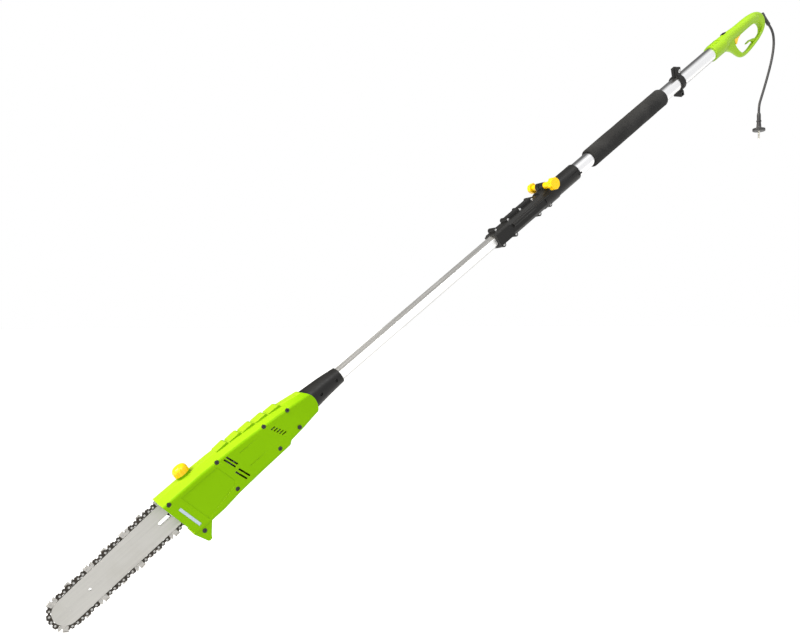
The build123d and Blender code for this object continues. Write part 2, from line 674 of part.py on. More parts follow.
def make_housing():
    outer = head_solid(0.0, 5.0) & front_trim(0.0) & rear_trim(0.0)
    inner = head_solid(HEAD_WALL, 0.0) & front_trim(FRONT_WALL) & rear_trim(1.2)
    spike = slab(poly(SPIKE), -34.0, 13.8)
    pads = grip_pads()
    cap_boss = rod_z(13.0, 38.0, 50.5, CAP_X)
    shell = (outer - inner) + spike + (pads - inner) + (cap_boss - head_solid(HEAD_WALL, 0.0))
    shell = shell - rod_x(SPIGOT_R + SLIDE_GAP, 550, 600, 0, NECK_Z)
    shell = shell - rod_z(FILLER_R, 30.0, 60.0, CAP_X)
    # near shell
    near = near_side(shell)
    for x, z in TOP_SCREWS + LOW_SCREWS:
        near = near + (rod_y(SCREW_BOSS_R, -34.0, -1.0, x, z) & (outer + spike))
    for x, z in TOP_SCREWS + LOW_SCREWS:
        near = near - rod_y(4.3, -50.0, SCREW_SEAT_Y + 3.0, x, z) - rod_y(
            SCREW_HOLE_R, -50.0, 20.0, x, z)
    for cut in side_cuts(-45.0, -30.0):
        near = near - cut
    panel = slab(poly(SIDE_PANEL), -45.0, PANEL_Y)
    window = window_frame(0.15)
    near = near - panel - window
    for z_line in SEAM_Z:
        near = near - block(410, 500, -45.0, -35.3, z_line - 0.4, z_line + 0.4)
    bearing_seat = ring_y(BEARING_R + 2.5, BEARING_R, -34.5, -15.0, SHAFT_X, SHAFT_Z)
    near = near + bearing_seat
    save("housing_near", near)
    # far shell: full depth behind the cover, a flat wall in front of it
    cover_zone = block(200, COVER_REAR_X, COVER_PLANE_Y, 60, -60, 80)
    far = far_side(shell) - cover_zone
    wall_y = COVER_PLANE_Y - HEAD_WALL
    wall = outer & (block(240, COVER_REAR_X + HEAD_WALL, wall_y, COVER_PLANE_Y, -60, 60)
                    + block(COVER_REAR_X, COVER_REAR_X + HEAD_WALL, wall_y, 60, -60, 60))
    shaft_boss = rod_y(BEARING_R + 3.0, 8.0, COVER_PLANE_Y, SHAFT_X, SHAFT_Z)
    far = far + wall + shaft_boss - rod_y(BEARING_R, 5.0, 20.0, SHAFT_X, SHAFT_Z)
    far = far - rod_z(FILLER_R, 30.0, 60.0, CAP_X)
    for x, z in TOP_SCREWS + LOW_SCREWS:
        reach = COVER_PLANE_Y - 1.0 if x < COVER_REAR_X else 34.5
        far = far + (rod_y(SCREW_BOSS_R, 0.0, reach, x, z) & (outer + spike))
    for x, z in TOP_SCREWS + LOW_SCREWS:
        far = far - rod_y(SCREW_HOLE_R, -1.0, 11.0, x, z)
    for cut in side_cuts(30.0, 45.0):
        far = far - cut
    save("housing_far", far)
    screws = [screw_y(x, z, SCREW_SEAT_Y + 3.0, 10.5, 3.9, SCREW_HOLE_R, 2.4)
              for x, z in TOP_SCREWS + LOW_SCREWS]
    save("housing_screws", screws)
    save("sprocket_cover", cover_shell(outer))


def cover_shell(outer):
    """The black cover over the sprocket, open in front where the bar and chain pass."""
    cover = outer & block(240, COVER_REAR_X - 0.3, COVER_PLANE_Y, 60, -60, 60)
    hollow = head_solid(HEAD_WALL, 0.0) & front_trim(FRONT_WALL) & block(
        200, COVER_REAR_X - HEAD_WALL - 0.3, COVER_PLANE_Y - 1, 60, -60, 60)
    cover = cover - hollow
    cover = cover - block(240, 273, COVER_PLANE_Y - 1, COVER_SLOT_Y, *COVER_SLOT_Z)
    cover = cover - rod_x(TENSION_HOLE_R, 240, 270, TENSION_Y, bar_point(TENSION_X, TENSION_Z)[1])
    for x in STUD_X:
        sx, sz = bar_point(x, 0)
        cover = cover - rod_y(STUD_R + 0.2, 20, 50, sx, sz)
    for i in range(4):
        cover = cover - block(300 + 9.0 * i, 303.5 + 9.0 * i, 30, 50, -22, -2)
    front_stud = bar_point(STUD_X[0], 0)
    cover = cover + rod_y(10.5, 33.0, COVER_FLANK_Y, *front_stud)
    return cover - rod_y(STUD_R + 0.2, 20, 50, *front_stud)


def window_frame(grow):
    half_x = WINDOW_HALF_X + grow
    half_z = WINDOW_HALF_Z + grow
    pane = slab(poly([(-half_x, half_z), (half_x, half_z), (half_x, -half_z), (-half_x, -half_z)]),
                -45.0 if grow else -36.1, -32.0)
    return Pos(WINDOW_X, 0, WINDOW_Z) * (Rot(0, WINDOW_TURN, 0) * pane)


def make_oil_system():
    save("oil_window", window_frame(0.0))
    tank = block(264, 297, -31.5, 10.5, -33, 24) + block(290, 331, -16, 10.5, 33.5, 36.5)
    tank = tank + block(264, 297, -16, 10.5, 24, 36.5)
    inside = block(275, 295, -29.5, 8.5, -31, 22) + block(266, 295, -14, 8.5, 20, 34.6)
    inside = inside + block(290, 329, -14, 8.5, 34.9, 35.6)
    room = head_solid(HEAD_WALL + TANK_GAP, 0.0) & front_trim(FRONT_WALL + TANK_GAP)
    neck = rod_z(TANK_NECK_R, 36.0, 50.0, CAP_X) - rod_z(TANK_NECK_BORE, 30.0, 60.0, CAP_X)
    tank = (tank & room) - inside + neck
    for x, z in TOP_SCREWS + LOW_SCREWS:
        tank = tank - rod_y(SCREW_BOSS_R + 0.5, -40, 20, x, z)
    save("oil_tank", tank)
    dome = rod_z(CAP_R, CAP_LOW_Z, CAP_HIGH_Z, 0)
    dome = fillet(dome.edges().sort_by(Axis.Z)[-1], CAP_ROUND)
    for i in range(CAP_FLUTES):
        turn = 2 * pi * i / CAP_FLUTES
        flute = Pos(CAP_FLUTE_AT * cos(turn), CAP_FLUTE_AT * sin(turn), 55) * Cylinder(CAP_FLUTE_R, 16)
        dome = dome - flute
    stem = rod_z(6.0, 40.0, 51.5, 0)
    save("oil_cap", Pos(CAP_X, 0, 0) * (dome + stem))
    seal = rod_z(8.2, 50.0, 50.95, 0) - rod_z(6.1, 49.0, 52.0, 0)
    save("oil_cap_seal", Pos(CAP_X, 0, 0) * seal)
    save("oil_pump", rod_y(PUMP_R, -33.2, -23.4, SHAFT_X, SHAFT_Z))


# ---------------------------------------------------------------- drive
def bevel_tooth(cone_angle):
    """One straight tooth that shrinks to the apex at the origin, and its rim's outer and inner points."""
    module = 2 * GEAR_PITCH_R / GEAR_TEETH
    cone_length = GEAR_PITCH_R / sin(atan2(GEAR_TEETH, PINION_TEETH))
    addendum = 0.75 * module
    dedendum = 1.05 * module
    half_width = TOOTH_FILL * pi * module / 4
    lean = tan(radians(PRESSURE_ANGLE))
    along = (sin(cone_angle), 0, cos(cone_angle))
    outward = (cos(cone_angle), 0, -sin(cone_angle))

    def tooth_face(length):
        scale = length / cone_length
        origin = (along[0] * length, 0, along[2] * length)
        plane = Plane(origin=origin, x_dir=(0, 1, 0), z_dir=along)
        sign = 1.0 if plane.y_dir.X * outward[0] + plane.y_dir.Z * outward[2] > 0 else -1.0
        top = (half_width - addendum * lean) * scale
        root = (half_width + dedendum * lean) * scale
        foot_z = -1.25 * dedendum * scale * sign
        top_z = addendum * scale * sign
        return plane * poly([(-root, foot_z), (-top, top_z), (top, top_z), (root, foot_z)])

    def rim(length):
        depth = dedendum * length / cone_length
        return (along[0] * length - outward[0] * depth, along[2] * length - outward[2] * depth)

    tooth = loft([tooth_face(cone_length - TOOTH_FACE), tooth_face(cone_length)], ruled=True)
    return tooth, rim(cone_length), rim(cone_length - TOOTH_FACE)


def make_gear(teeth, cone_angle, back, bore, turn):
    tooth, outer, inner = bevel_tooth(cone_angle)
    web = make_face(Polyline((bore, inner[1]), inner, outer, (outer[0], back), (bore, back), close=True))
    gear = revolve(Plane.XZ * web, Axis.Z, 360)
    for i in range(teeth):
        gear = gear + Rot(0, 0, turn + 360.0 * i / teeth) * tooth
    return gear


def make_drive():
    gear_cone = atan2(GEAR_TEETH, PINION_TEETH)
    pinion_cone = atan2(PINION_TEETH, GEAR_TEETH)
    # wheel: axis along +Y from the apex; pinion: axis along +X
    wheel = make_gear(GEAR_TEETH, gear_cone, 12.0, OUTPUT_SHAFT_R, 180.0 / GEAR_TEETH)
    save("bevel_wheel", Pos(SHAFT_X, MOTOR_Y, SHAFT_Z) * (Rot(-90, 0, 0) * wheel))
    pinion = make_gear(PINION_TEETH, pinion_cone, 30.0, ROTOR_SHAFT_R, 0.0)
    save("bevel_pinion", Pos(SHAFT_X, MOTOR_Y, SHAFT_Z) * (Rot(0, 90, 0) * pinion))
    save("output_shaft", rod_y(OUTPUT_SHAFT_R, *OUTPUT_SHAFT_Y, SHAFT_X, SHAFT_Z))
    save("drive_sprocket", chain_sprocket())
    bearings = [ring_y(BEARING_R, OUTPUT_SHAFT_R + RUN_GAP, low, high, SHAFT_X, SHAFT_Z)
                for low, high in OUTPUT_BEARING_Y]
    bearings += [motor_tube(MOTOR_BEARING_R, ROTOR_SHAFT_R + RUN_GAP, low, high)
                 for low, high in MOTOR_BEARING_X]
    save("shaft_bearings", bearings)


def chain_sprocket():
    """A spur sprocket: six teeth between two rims on one hub."""
    sprocket = rod_y(SPROCKET_HUB_R, 14.6, 23.4, SHAFT_X, SHAFT_Z)
    for low in (BAR_Y - 2.1, BAR_Y + 0.9):
        sprocket = sprocket + rod_y(SPROCKET_RIM_R, low, low + SPROCKET_RIM, SHAFT_X, SHAFT_Z)
    for i in range(SPROCKET_TEETH):
        spur = block(7, 11.0, BAR_Y - 1.0, BAR_Y + 1.0, -2.4, 2.4)
        sprocket = sprocket + Pos(SHAFT_X, 0, SHAFT_Z) * (Rot(0, 360.0 * i / SPROCKET_TEETH, 0) * spur)
    return sprocket - rod_y(OUTPUT_SHAFT_R, 0, 40, SHAFT_X, SHAFT_Z)


# ---------------------------------------------------------------- motor
def motor_tube(outer, inner, x_low, x_high):
    return tube_x(outer, inner, x_low, x_high, MOTOR_Y, SHAFT_Z)


def about_motor(count, piece):
    """Copies of a piece spread evenly about the rotor shaft."""
    return [Pos(0, MOTOR_Y, SHAFT_Z) * (Rot(360.0 * i / count, 0, 0) * piece) for i in range(count)]


def motor_band(x_low, x_high, half_y, side, near_z, far_z):
    """A block over (side 1) or under (side -1) the rotor shaft."""
    heights = sorted((SHAFT_Z + side * near_z, SHAFT_Z + side * far_z))
    return block(x_low, x_high, MOTOR_Y - half_y, MOTOR_Y + half_y, *heights)


def make_rotor():
    save("rotor_shaft", rod_x(ROTOR_SHAFT_R, SHAFT_X + 16.0, ROTOR_SHAFT_END_X, MOTOR_Y, SHAFT_Z))
    core = rod_x(CORE_R, *CORE_X, MOTOR_Y, SHAFT_Z)
    for groove in about_motor(CORE_GROOVES, block(CORE_X[0] - 2, CORE_X[1] + 2, 13.4, 17.0, -1.1, 1.1)):
        core = core - groove
    save("rotor_core", core - rod_x(ROTOR_SHAFT_R, CORE_X[0] - 12, CORE_X[1] + 12, MOTOR_Y, SHAFT_Z))
    save("commutator", motor_tube(COMMUTATOR_R, ROTOR_SHAFT_R, *COMMUTATOR_X))
    disc_end = FAN_X[0] + 1.6
    fan = motor_tube(FAN_HUB_R, ROTOR_SHAFT_R, *FAN_X) + motor_tube(FAN_R, FAN_HUB_R, FAN_X[0], disc_end)
    for blade in about_motor(FAN_BLADES, block(disc_end, FAN_X[1] - 1, 8.0, FAN_R - 1, -0.8, 0.8)):
        fan = fan + blade
    save("cooling_fan", fan)


def make_stator():
    ring = motor_tube(STATOR_R, BORE_R, *CORE_X) - motor_tube(24.5, 17.5, CORE_X[0] - 12, CORE_X[1] + 12)
    for side in (1, -1):
        pole = motor_band(*CORE_X, 8, side, 15, 26) & motor_tube(26.0, BORE_R, *CORE_X)
        shoe = motor_tube(18.4, BORE_R, *CORE_X) & motor_band(*CORE_X, 13, side, 5, 30)
        ring = ring + (pole + shoe)
    save("motor_stator", ring)
    coils = []
    for side in (1, -1):
        for low, high in COIL_X:
            coils.append(motor_tube(23.6, 18.0, low, high) & motor_band(low - 1, high + 1, 40, side, 9, 40))
    save("field_coils", coils)


def make_end_frames():
    frames = []
    for low, high in END_FRAME_X:
        plate = rod_x(14.0, low, high, MOTOR_Y, SHAFT_Z)
        plate = plate + block(low, low + 3.0, MOTOR_Y - 24, MOTOR_Y + 24, SHAFT_Z - 9, SHAFT_Z + 9)
        plate = plate - rod_x(MOTOR_BEARING_R, low + 1.0, high + 1, MOTOR_Y, SHAFT_Z)
        frames.append(plate - rod_x(4.6, low - 1, high + 1, MOTOR_Y, SHAFT_Z))
    save("motor_end_frames", frames)
    brushes = []
    for side in (1, -1):
        low, high = sorted((MOTOR_Y + side * 10.8, MOTOR_Y + side * 22.0))
        brushes.append(block(*BRUSH_X, low, high, SHAFT_Z - 3.0, SHAFT_Z + 3.0))
    save("carbon_brushes", brushes)


# ---------------------------------------------------------------- neck and pole
def cone_x(x_low, x_high, low_r, high_r, z):
    """A cone along X whose radius runs from low_r to high_r."""
    ends = [(x_low, low_r), (x_high, high_r)]
    return loft([cross_plane(x) * (Pos(0, z) * Circle(radius)) for x, radius in ends], ruled=True)


def make_neck():
    cone = cone_x(556, 572, 25.6, 24.2, NECK_Z) + cone_x(572, 620, 24.2, 20.4, NECK_Z)
    rear = loft([cross_plane(620) * (Pos(0, NECK_Z) * Circle(20.4)), cross_plane(657) * Circle(17.0)],
                ruled=True)
    neck = (cone + rear) - rear_trim(-0.4)
    neck = neck + rod_x(SPIGOT_R, 560.0, 590.0, 0, NECK_Z) + rod_x(SPIGOT_R + 1.4, 560.0, 563.0, 0, NECK_Z)
    neck = neck - hex_rod(HEX_FLATS, LOWER_START_X, 700)
    neck = neck - rod_x(16.5, 540, LOWER_START_X - 2, 0, NECK_Z)
    holes = [(x, -17.0 if x < 620 else -14.2) for x in NECK_SCREWS_X]
    near = near_side(neck)
    for x, seat in holes:
        near = near - rod_y(3.6, -40, seat + 1.2, x, 0.0) - rod_y(1.7, -40, -10, x, 0.0)
    save("neck_near", near)
    save("neck_far", far_side(neck))
    save("neck_screws", [screw_y(x, 0.0, seat + 1.2, -HEX_FLATS / 2 + HEX_WALL + 0.5, 3.3, 1.7, 1.8)
                         for x, seat in holes])


def make_tubes():
    tube = hex_rod(HEX_FLATS, LOWER_START_X, LOWER_END_X) - hex_rod(
        HEX_FLATS - 2 * HEX_WALL, LOWER_START_X - 5, LOWER_END_X + 5, HEX_CORNER - HEX_WALL)
    for x in NECK_SCREWS_X:
        tube = tube - rod_y(1.7, -20, 0, x, 0.0)
    save("lower_tube", tube)
    inner = UPPER_RADIUS - UPPER_WALL
    save("upper_tube", tube_x(UPPER_RADIUS, inner, UPPER_START_X, UPPER_END_X))
    glide = rod_x(inner - RUN_GAP, LOWER_END_X - 30.0, LOWER_END_X + 4.0)
    glide = glide - hex_rod(HEX_FLATS, LOWER_END_X - 40.0, LOWER_END_X)
    glide = glide - rod_x(10.5, LOWER_END_X - 40.0, LOWER_END_X + 10.0)
    save("tube_glide", glide)
    grip_half = GRIP_LENGTH / 2
    grip = tube_x(GRIP_RADIUS, UPPER_RADIUS, GRIP_CENTRE_X - grip_half, GRIP_CENTRE_X + grip_half)
    ends = grip.edges().filter_by(GeomType.CIRCLE).filter_by(lambda e: e.radius > UPPER_RADIUS + 1)
    save("foam_grip", fillet(ends, 3.5))


# ---------------------------------------------------------------- coupling
def coupling_body():
    outline = poly(COUPLING_OUTLINE)
    outline = fillet(outline.vertices(), COUPLING_ROUND)
    body = extrude(cross_plane(COUPLING_START_X) * outline, amount=COUPLING_STEP_X - COUPLING_START_X)
    body = body + rod_x(COUPLING_SLEEVE_R, SLEEVE_X, COUPLING_END_X)
    body = body + block(COUPLING_START_X, 1170.0, -22.0, 22.0, -14.0, 12.0)
    body = body + block(1180.0, 1262.0, -LUG_Y, LUG_Y, 12.0, LUG_Z + LUG_R - 0.8)
    body = body + block(COUPLING_START_X + 8, COUPLING_STEP_X, -LUG_Y, LUG_Y, -19.0, -12.0)
    for x in TOP_LUGS:
        body = body + rod_y(LUG_R, -LUG_Y, LUG_Y + 6.0, x, LUG_Z)
    for x in LOW_LUGS:
        body = body + rod_y(LUG_R, -LUG_Y, LUG_Y, x, -LUG_Z)
    rib = rod_x(5.5, 1178.0, 1252.0, -18.5, 4.5) + rod_x(3.2, 1250.0, 1300.0, -20.0, 6.5)
    body = body + rib
    ears = block(CLAMP_BOLT_X - EAR_R, CLAMP_BOLT_X + EAR_R, -EAR_Y, EAR_Y, 10.0, CLAMP_BOLT_Z)
    return body + ears + rod_y(EAR_R, -EAR_Y, EAR_Y, CLAMP_BOLT_X, CLAMP_BOLT_Z)


def make_coupling():
    body = coupling_body()
    body = body - hex_rod(HEX_FLATS + 2 * SLIDE_GAP, 1100, 1291)
    body = body - rod_x(UPPER_RADIUS, 1291.0, COUPLING_END_X + 5)
    body = body - rod_x(UPPER_RADIUS - 1.0, 1285.0, 1292.0)
    body = body - block(1295.0, COUPLING_END_X + 5, -1.0, 1.0, 10.0, 60.0)
    body = body - rod_y(CLAMP_BOLT_R + RUN_GAP, -60, 60, CLAMP_BOLT_X, CLAMP_BOLT_Z)
    places = [(x, LUG_Z) for x in TOP_LUGS] + [(x, -LUG_Z) for x in LOW_LUGS]
    for x, z in places:
        body = body - rod_y(LUG_HOLE_R, -30, 30, x, z)
        body = body - rod_y(LUG_HEAD_R, -30, -LUG_Y + LUG_HEAD_DEEP, x, z)
    save("coupling_near", near_side(body))
    save("coupling_far", far_side(body))
    screws = [screw_y(x, z, -LUG_Y + LUG_HEAD_DEEP, LUG_Y - 0.5, 2.9, LUG_HOLE_R, 1.6) for x, z in places]
    save("coupling_screws", screws)
    collar = tube_x(COLLAR_R, UPPER_RADIUS, COUPLING_END_X + 0.2, COLLAR_END_X)
    collar = collar - block(1380.0, 1420.0, -30.0, -18.4, 3.0, 4.4)
    collar = collar + rod_x(2.2, COLLAR_END_X - 5, COLLAR_END_X + 3.5, -19.6, -6.0) - rod_x(
        UPPER_RADIUS, 1330, 1425)
    save("clamp_collar", collar)


def lobed_knob(radius, lobes, depth):
    """A hand knob on the Z axis with its domed face up: a disc with shallow round lobes."""
    disc = Cylinder(radius - KNOB_LOBE_DEPTH, depth)
    for i in range(lobes):
        turn = 2 * pi * i / lobes
        disc = disc + Pos((radius - KNOB_LOBE_R) * cos(turn), (radius - KNOB_LOBE_R) * sin(turn),
                          -KNOB_DROP / 2) * Cylinder(KNOB_LOBE_R, depth - KNOB_DROP)
    face = disc.edges().filter_by(GeomType.CIRCLE).group_by(Axis.Z)[-1]
    return fillet(face, KNOB_ROUND)


def make_clamp():
    bolt = rod_y(CLAMP_BOLT_R, NEAR_KNOB_Y + 4.0, FAR_KNOB_Y - 4.0, 0, 0)
    near = Pos(0, NEAR_KNOB_Y + NEAR_KNOB_DEEP / 2, 0) * (
        Rot(90, 0, 0) * lobed_knob(NEAR_KNOB_R, 8, NEAR_KNOB_DEEP))
    near = near + rod_y(7.5, NEAR_KNOB_Y + NEAR_KNOB_DEEP, -EAR_Y - 0.4, 0, 0) - bolt
    far = Pos(0, FAR_KNOB_Y - FAR_KNOB_DEEP / 2, 0) * (
        Rot(-90, 0, 0) * lobed_knob(FAR_KNOB_R, 6, FAR_KNOB_DEEP))
    far = far + rod_y(6.5, EAR_Y + 0.4, FAR_KNOB_Y - FAR_KNOB_DEEP, 0, 0)
    far = far - rod_y(CLAMP_BOLT_R + RUN_GAP, 0, FAR_KNOB_Y - 2.0, 0, 0)
    seat = Pos(CLAMP_BOLT_X, 0, CLAMP_BOLT_Z)
    save("clamp_knob_near", seat * near)
    save("clamp_knob_far", seat * far)
    save("clamp_bolt", seat * bolt)


def make_strap_clamp():
    """Two half rings with ears above and an eye for a strap hook below, turned a little to the near side."""
    low = STRAP_X - STRAP_WIDTH / 2
    high = STRAP_X + STRAP_WIDTH / 2
    bore = UPPER_RADIUS + RUN_GAP
    body = tube_x(21.6, bore, low, high)
    body = body + block(low, high, -STRAP_EAR_Y, STRAP_EAR_Y, 12.0, STRAP_EAR_Z)
    foot = cross_plane(low) * poly(STRAP_FOOT)
    body = body + extrude(foot, amount=STRAP_WIDTH) - rod_x(bore, low - 2, high + 2)
    body = body - block(low - 1, high + 1, -0.8, 0.8, 12.0, 60.0)
    body = body - rod_y(2.6, -30, 30, STRAP_X, STRAP_BOLT_Z)
    body = body - rod_y(STRAP_EYE_R, -30, 30, STRAP_X, STRAP_EYE_Z)
    seat = STRAP_EAR_Y - 2.5
    for y_low, y_high in ((-30, -seat), (seat, 30)):
        body = body - rod_y(4.7, y_low, y_high, STRAP_X, STRAP_BOLT_Z)
    bolt = rod_y(2.5, -seat, seat + 2.0, 0, 0) + rod_y(4.4, -seat - 3.4, -seat, 0, 0)
    bolt = bolt - block(-1.6, 1.6, -seat - 4, -seat - 1.6, -1.6, 1.6)
    nut = rod_y(4.3, seat, seat + 3.0, 0, 0) - rod_y(2.5, 0, 30, 0, 0)
    turned = Rot(STRAP_TURN, 0, 0)
    bolt_seat = turned * Pos(STRAP_X, 0, STRAP_BOLT_Z)
    save("strap_clamp_near", turned * near_side(body))
    save("strap_clamp_far", turned * far_side(body))
    save("strap_clamp_fasteners", [bolt_seat * bolt, bolt_seat * nut])


# ---------------------------------------------------------------- rear handle
def handle_outline():
    top = Line((HANDLE_START_X, 20.5), HANDLE_OUTLINE[0])
    curve = Spline(*HANDLE_OUTLINE, tangents=[(1, 0), (-1, 0.02)])
    low = Line(HANDLE_OUTLINE[-1], (HANDLE_START_X, -20.5))
    front = Line((HANDLE_START_X, -20.5), (HANDLE_START_X, 20.5))
    return make_face(Wire([top, curve, low, front]))


def side_rims(loop):
    """The curved edges of the loop's two flat sides."""
    curved = loop.edges().filter_by(GeomType.BSPLINE)
    return [edge for edge in curved if abs(edge.center().Y) > LOOP_HALF / 2]


def make_handle_solid():
    """The sleeve on the pole, the round grip bar behind it and the loop below, all with rounded edges."""
    loop = slab(handle_outline(), -LOOP_HALF, LOOP_HALF)
    loop = fillet(side_rims(loop), LOOP_OUTER_ROUND)
    loop = loop - slab(make_face(Spline(*FINGER_OUTLINE, periodic=True)), -40, 40)
    loop = fillet([edge for edge in side_rims(loop) if edge.is_closed], LOOP_INNER_ROUND)
    stations = [cross_plane(x) * (Pos(0, z) * Ellipse(half, high)) for x, half, high, z in GRIP_STATIONS]
    sleeve = rod_x(SLEEVE_R, HANDLE_START_X, GRIP_STATIONS[0][0])
    for x in GRIP_RIBS:
        sleeve = sleeve + (rod_x(SLEEVE_R + 1.2, x, x + 5.0) & block(2000, 2060, -12, 12, 10, 30))
    return sleeve + loft(stations) + loop


def make_handle():
    solid = make_handle_solid()
    solid = solid + slab(poly(HOOK_OUTLINE), -HOOK_HALF, HOOK_HALF)
    solid = solid - rod_x(UPPER_RADIUS, HANDLE_START_X - 1, UPPER_END_X)
    solid = solid - rod_x(13.0, UPPER_END_X - 1, 2070.0)
    pocket = block(2104.5, 2196.0, -8.0, 8.0, -7.0, 12.5)
    mouth = block(2100.5, 2153.5, -6.3, 6.3, -27.0, 0.0)
    lock_hole = block(LOCK_X - 7.4, LOCK_X + 7.4, -4.9, 4.9, 13.0, 30.0)
    lock_hole = lock_hole + block(LOCK_X - 9.4, LOCK_X + 9.4, -4.9, 4.9, 4.0, 14.0)
    lead_way = rod_x(LEAD_WAY_R, 2060.0, 2250.0, 0, 2.0)
    solid = solid - pocket - mouth - lock_hole - lead_way
    solid = solid - relief_body() - pivot_pin()
    near = near_side(solid)
    far = far_side(solid)
    screws = []
    for x, z in HANDLE_SCREWS:
        depth = (solid & rod_y(0.6, 0.0, 40.0, x, z)).bounding_box().max.Y
        far = far - rod_y(3.2, depth - 2.6, 40.0, x, z) - rod_y(1.6, -2.0, 40.0, x, z)
        near = near - rod_y(1.6, -depth + 3.5, 1.0, x, z)
        screws.append(mirror(screw_y(x, z, -depth + 2.6, depth - 4.0, 2.9, 1.6, 1.7), about=Plane.XZ))
    save("handle_near", near)
    save("handle_far", far)
    save("handle_screws", screws)


def pivot_pin():
    return rod_y(PIVOT_R, -PIVOT_HALF_LENGTH, PIVOT_HALF_LENGTH, PIVOT_X, PIVOT_Z)


def make_trigger():
    trigger = slab(poly(TRIGGER_OUTLINE), -TRIGGER_HALF, TRIGGER_HALF)
    save("trigger", trigger - rod_y(PIVOT_R + RUN_GAP, -20, 20, PIVOT_X, PIVOT_Z))
    save("trigger_pin", pivot_pin())
    coil = Helix(pitch=SPRING_PITCH, height=SPRING_HEIGHT, radius=SPRING_R)
    start = Plane(origin=coil @ 0, z_dir=coil % 0)
    spring = sweep(start * Circle(SPRING_WIRE_R), path=coil)
    save("trigger_spring", Pos(SPRING_SEAT[0], 0, SPRING_SEAT[1]) * spring)
    save("power_switch", block(2160.0, 2194.0, -7.6, 7.6, -6.5, 11.5)
         + block(2157.4, 2160.0, -3.0, 3.0, 5.0, 9.0))
    button = block(LOCK_X - LOCK_HALF_X, LOCK_X + LOCK_HALF_X, -LOCK_HALF_Y, LOCK_HALF_Y, 12.0, LOCK_TOP_Z)
    for i in range(LOCK_GROOVES):
        groove_x = LOCK_X - 4.0 + 4.0 * i
        button = button - block(groove_x - 0.6, groove_x + 0.6, -6, 6, 21.6, 23)
    button = button + block(LOCK_X - 8.2, LOCK_X + 8.2, -LOCK_HALF_Y, LOCK_HALF_Y, 10.0, 13.0)
    save("lock_button", button)


# ---------------------------------------------------------------- cord, relief and plug
def relief_points():
    """Start inside the handle and end at the cord's first point, in the saw's frame."""
    t = radians(INCLINE)
    x, z = CORD_POINTS[0]
    end = (GRIP_CENTRE_X + x * cos(t) + z * sin(t), -x * sin(t) + z * cos(t))
    dx, dz = CORD_POINTS[1][0] - x, CORD_POINTS[1][1] - z
    run = hypot(dx, dz)
    along = ((dx * cos(t) + dz * sin(t)) / run, (-dx * sin(t) + dz * cos(t)) / run)
    return end, along


def relief_body():
    end, along = relief_points()
    start = (end[0] - along[0] * RELIEF_LENGTH, 0, end[1] - along[1] * RELIEF_LENGTH)
    plane = Plane(origin=start, x_dir=(0, 1, 0), z_dir=(along[0], 0, along[1]))
    flange = RELIEF_LENGTH - 3
    profile = [(0, 0), (6.2, 0), (6.2, 8.0), (5.6, 12.0), (4.7, flange), (5.4, flange), (5.4, RELIEF_LENGTH),
               (0, RELIEF_LENGTH)]
    return plane * revolve(Plane.XZ * poly(profile), Axis.Z, 360)


def make_cord():
    save("strain_relief", relief_body())
    points = [Vector(x, 0, z) for x, z in CORD_POINTS]
    runs = [(b - a).length for a, b in zip(points[:-1], points[1:])]
    radii = []
    for i in range(1, len(points) - 1):
        turn = (points[i] - points[i - 1]).get_angle(points[i + 1] - points[i])
        shorter = min(runs[i - 1], runs[i])
        radii.append(0.45 * shorter / tan(radians(turn) / 2))
    path = FilletPolyline(*points, radius=radii)
    first = points[1] - points[0]
    section = Plane(origin=points[0], z_dir=first) * Circle(CORD_R)
    cord = sweep(section, path=path)
    print("cord runs", [round(r, 1) for r in runs])
    print("cord radii", [round(r, 1) for r in radii])
    print("cord length", round(path.length, 1), "volume ratio",
          round(cord.volume / (pi * CORD_R ** 2 * path.length), 4))
    save("cord", cord, tilt=False)
    end = CORD_POINTS[-1]
    stem = revolve(Plane.XZ * poly(PLUG_STEM), Axis.Z, 360)
    flange = extrude(Pos(0, 0, PLUG_FACE_Z) * SlotOverall(*PLUG_FLANGE), amount=PLUG_FLANGE_DEEP)
    flange = fillet(flange.edges().filter_by(Plane.XY), 2.0)
    plug = stem + flange
    pin_mid = PLUG_FACE_Z - PIN_LENGTH / 2
    pins = [Pos(side * PIN_SPACING / 2, 0, pin_mid) * Cylinder(PIN_R, PIN_LENGTH) for side in (-1, 1)]
    tips = [fillet(pin.edges().sort_by(Axis.Z)[0], 1.6) for pin in pins]
    seat = Pos(end[0], 0, end[1]) * Rot(0, 0, PLUG_TURN)
    save("plug_body", seat * plug, tilt=False)
    save("plug_pins", [seat * tip for tip in tips], tilt=False)


def main():
    os.makedirs("parts", exist_ok=True)
    print("sprocket at", round(SPROCKET_X, 2), "shaft at", round(SHAFT_X, 2), round(SHAFT_Z, 2))
    make_bar()
    make_chain()
    make_bar_fixings()
    make_housing()
    make_oil_system()
    make_drive()
    make_rotor()
    make_stator()
    make_end_frames()
    make_neck()
    make_tubes()
    make_coupling()
    make_clamp()
    make_strap_clamp()
    make_handle()
    make_trigger()
    make_cord()


main()
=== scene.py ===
import json
import math

import bpy
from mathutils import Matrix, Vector, noise


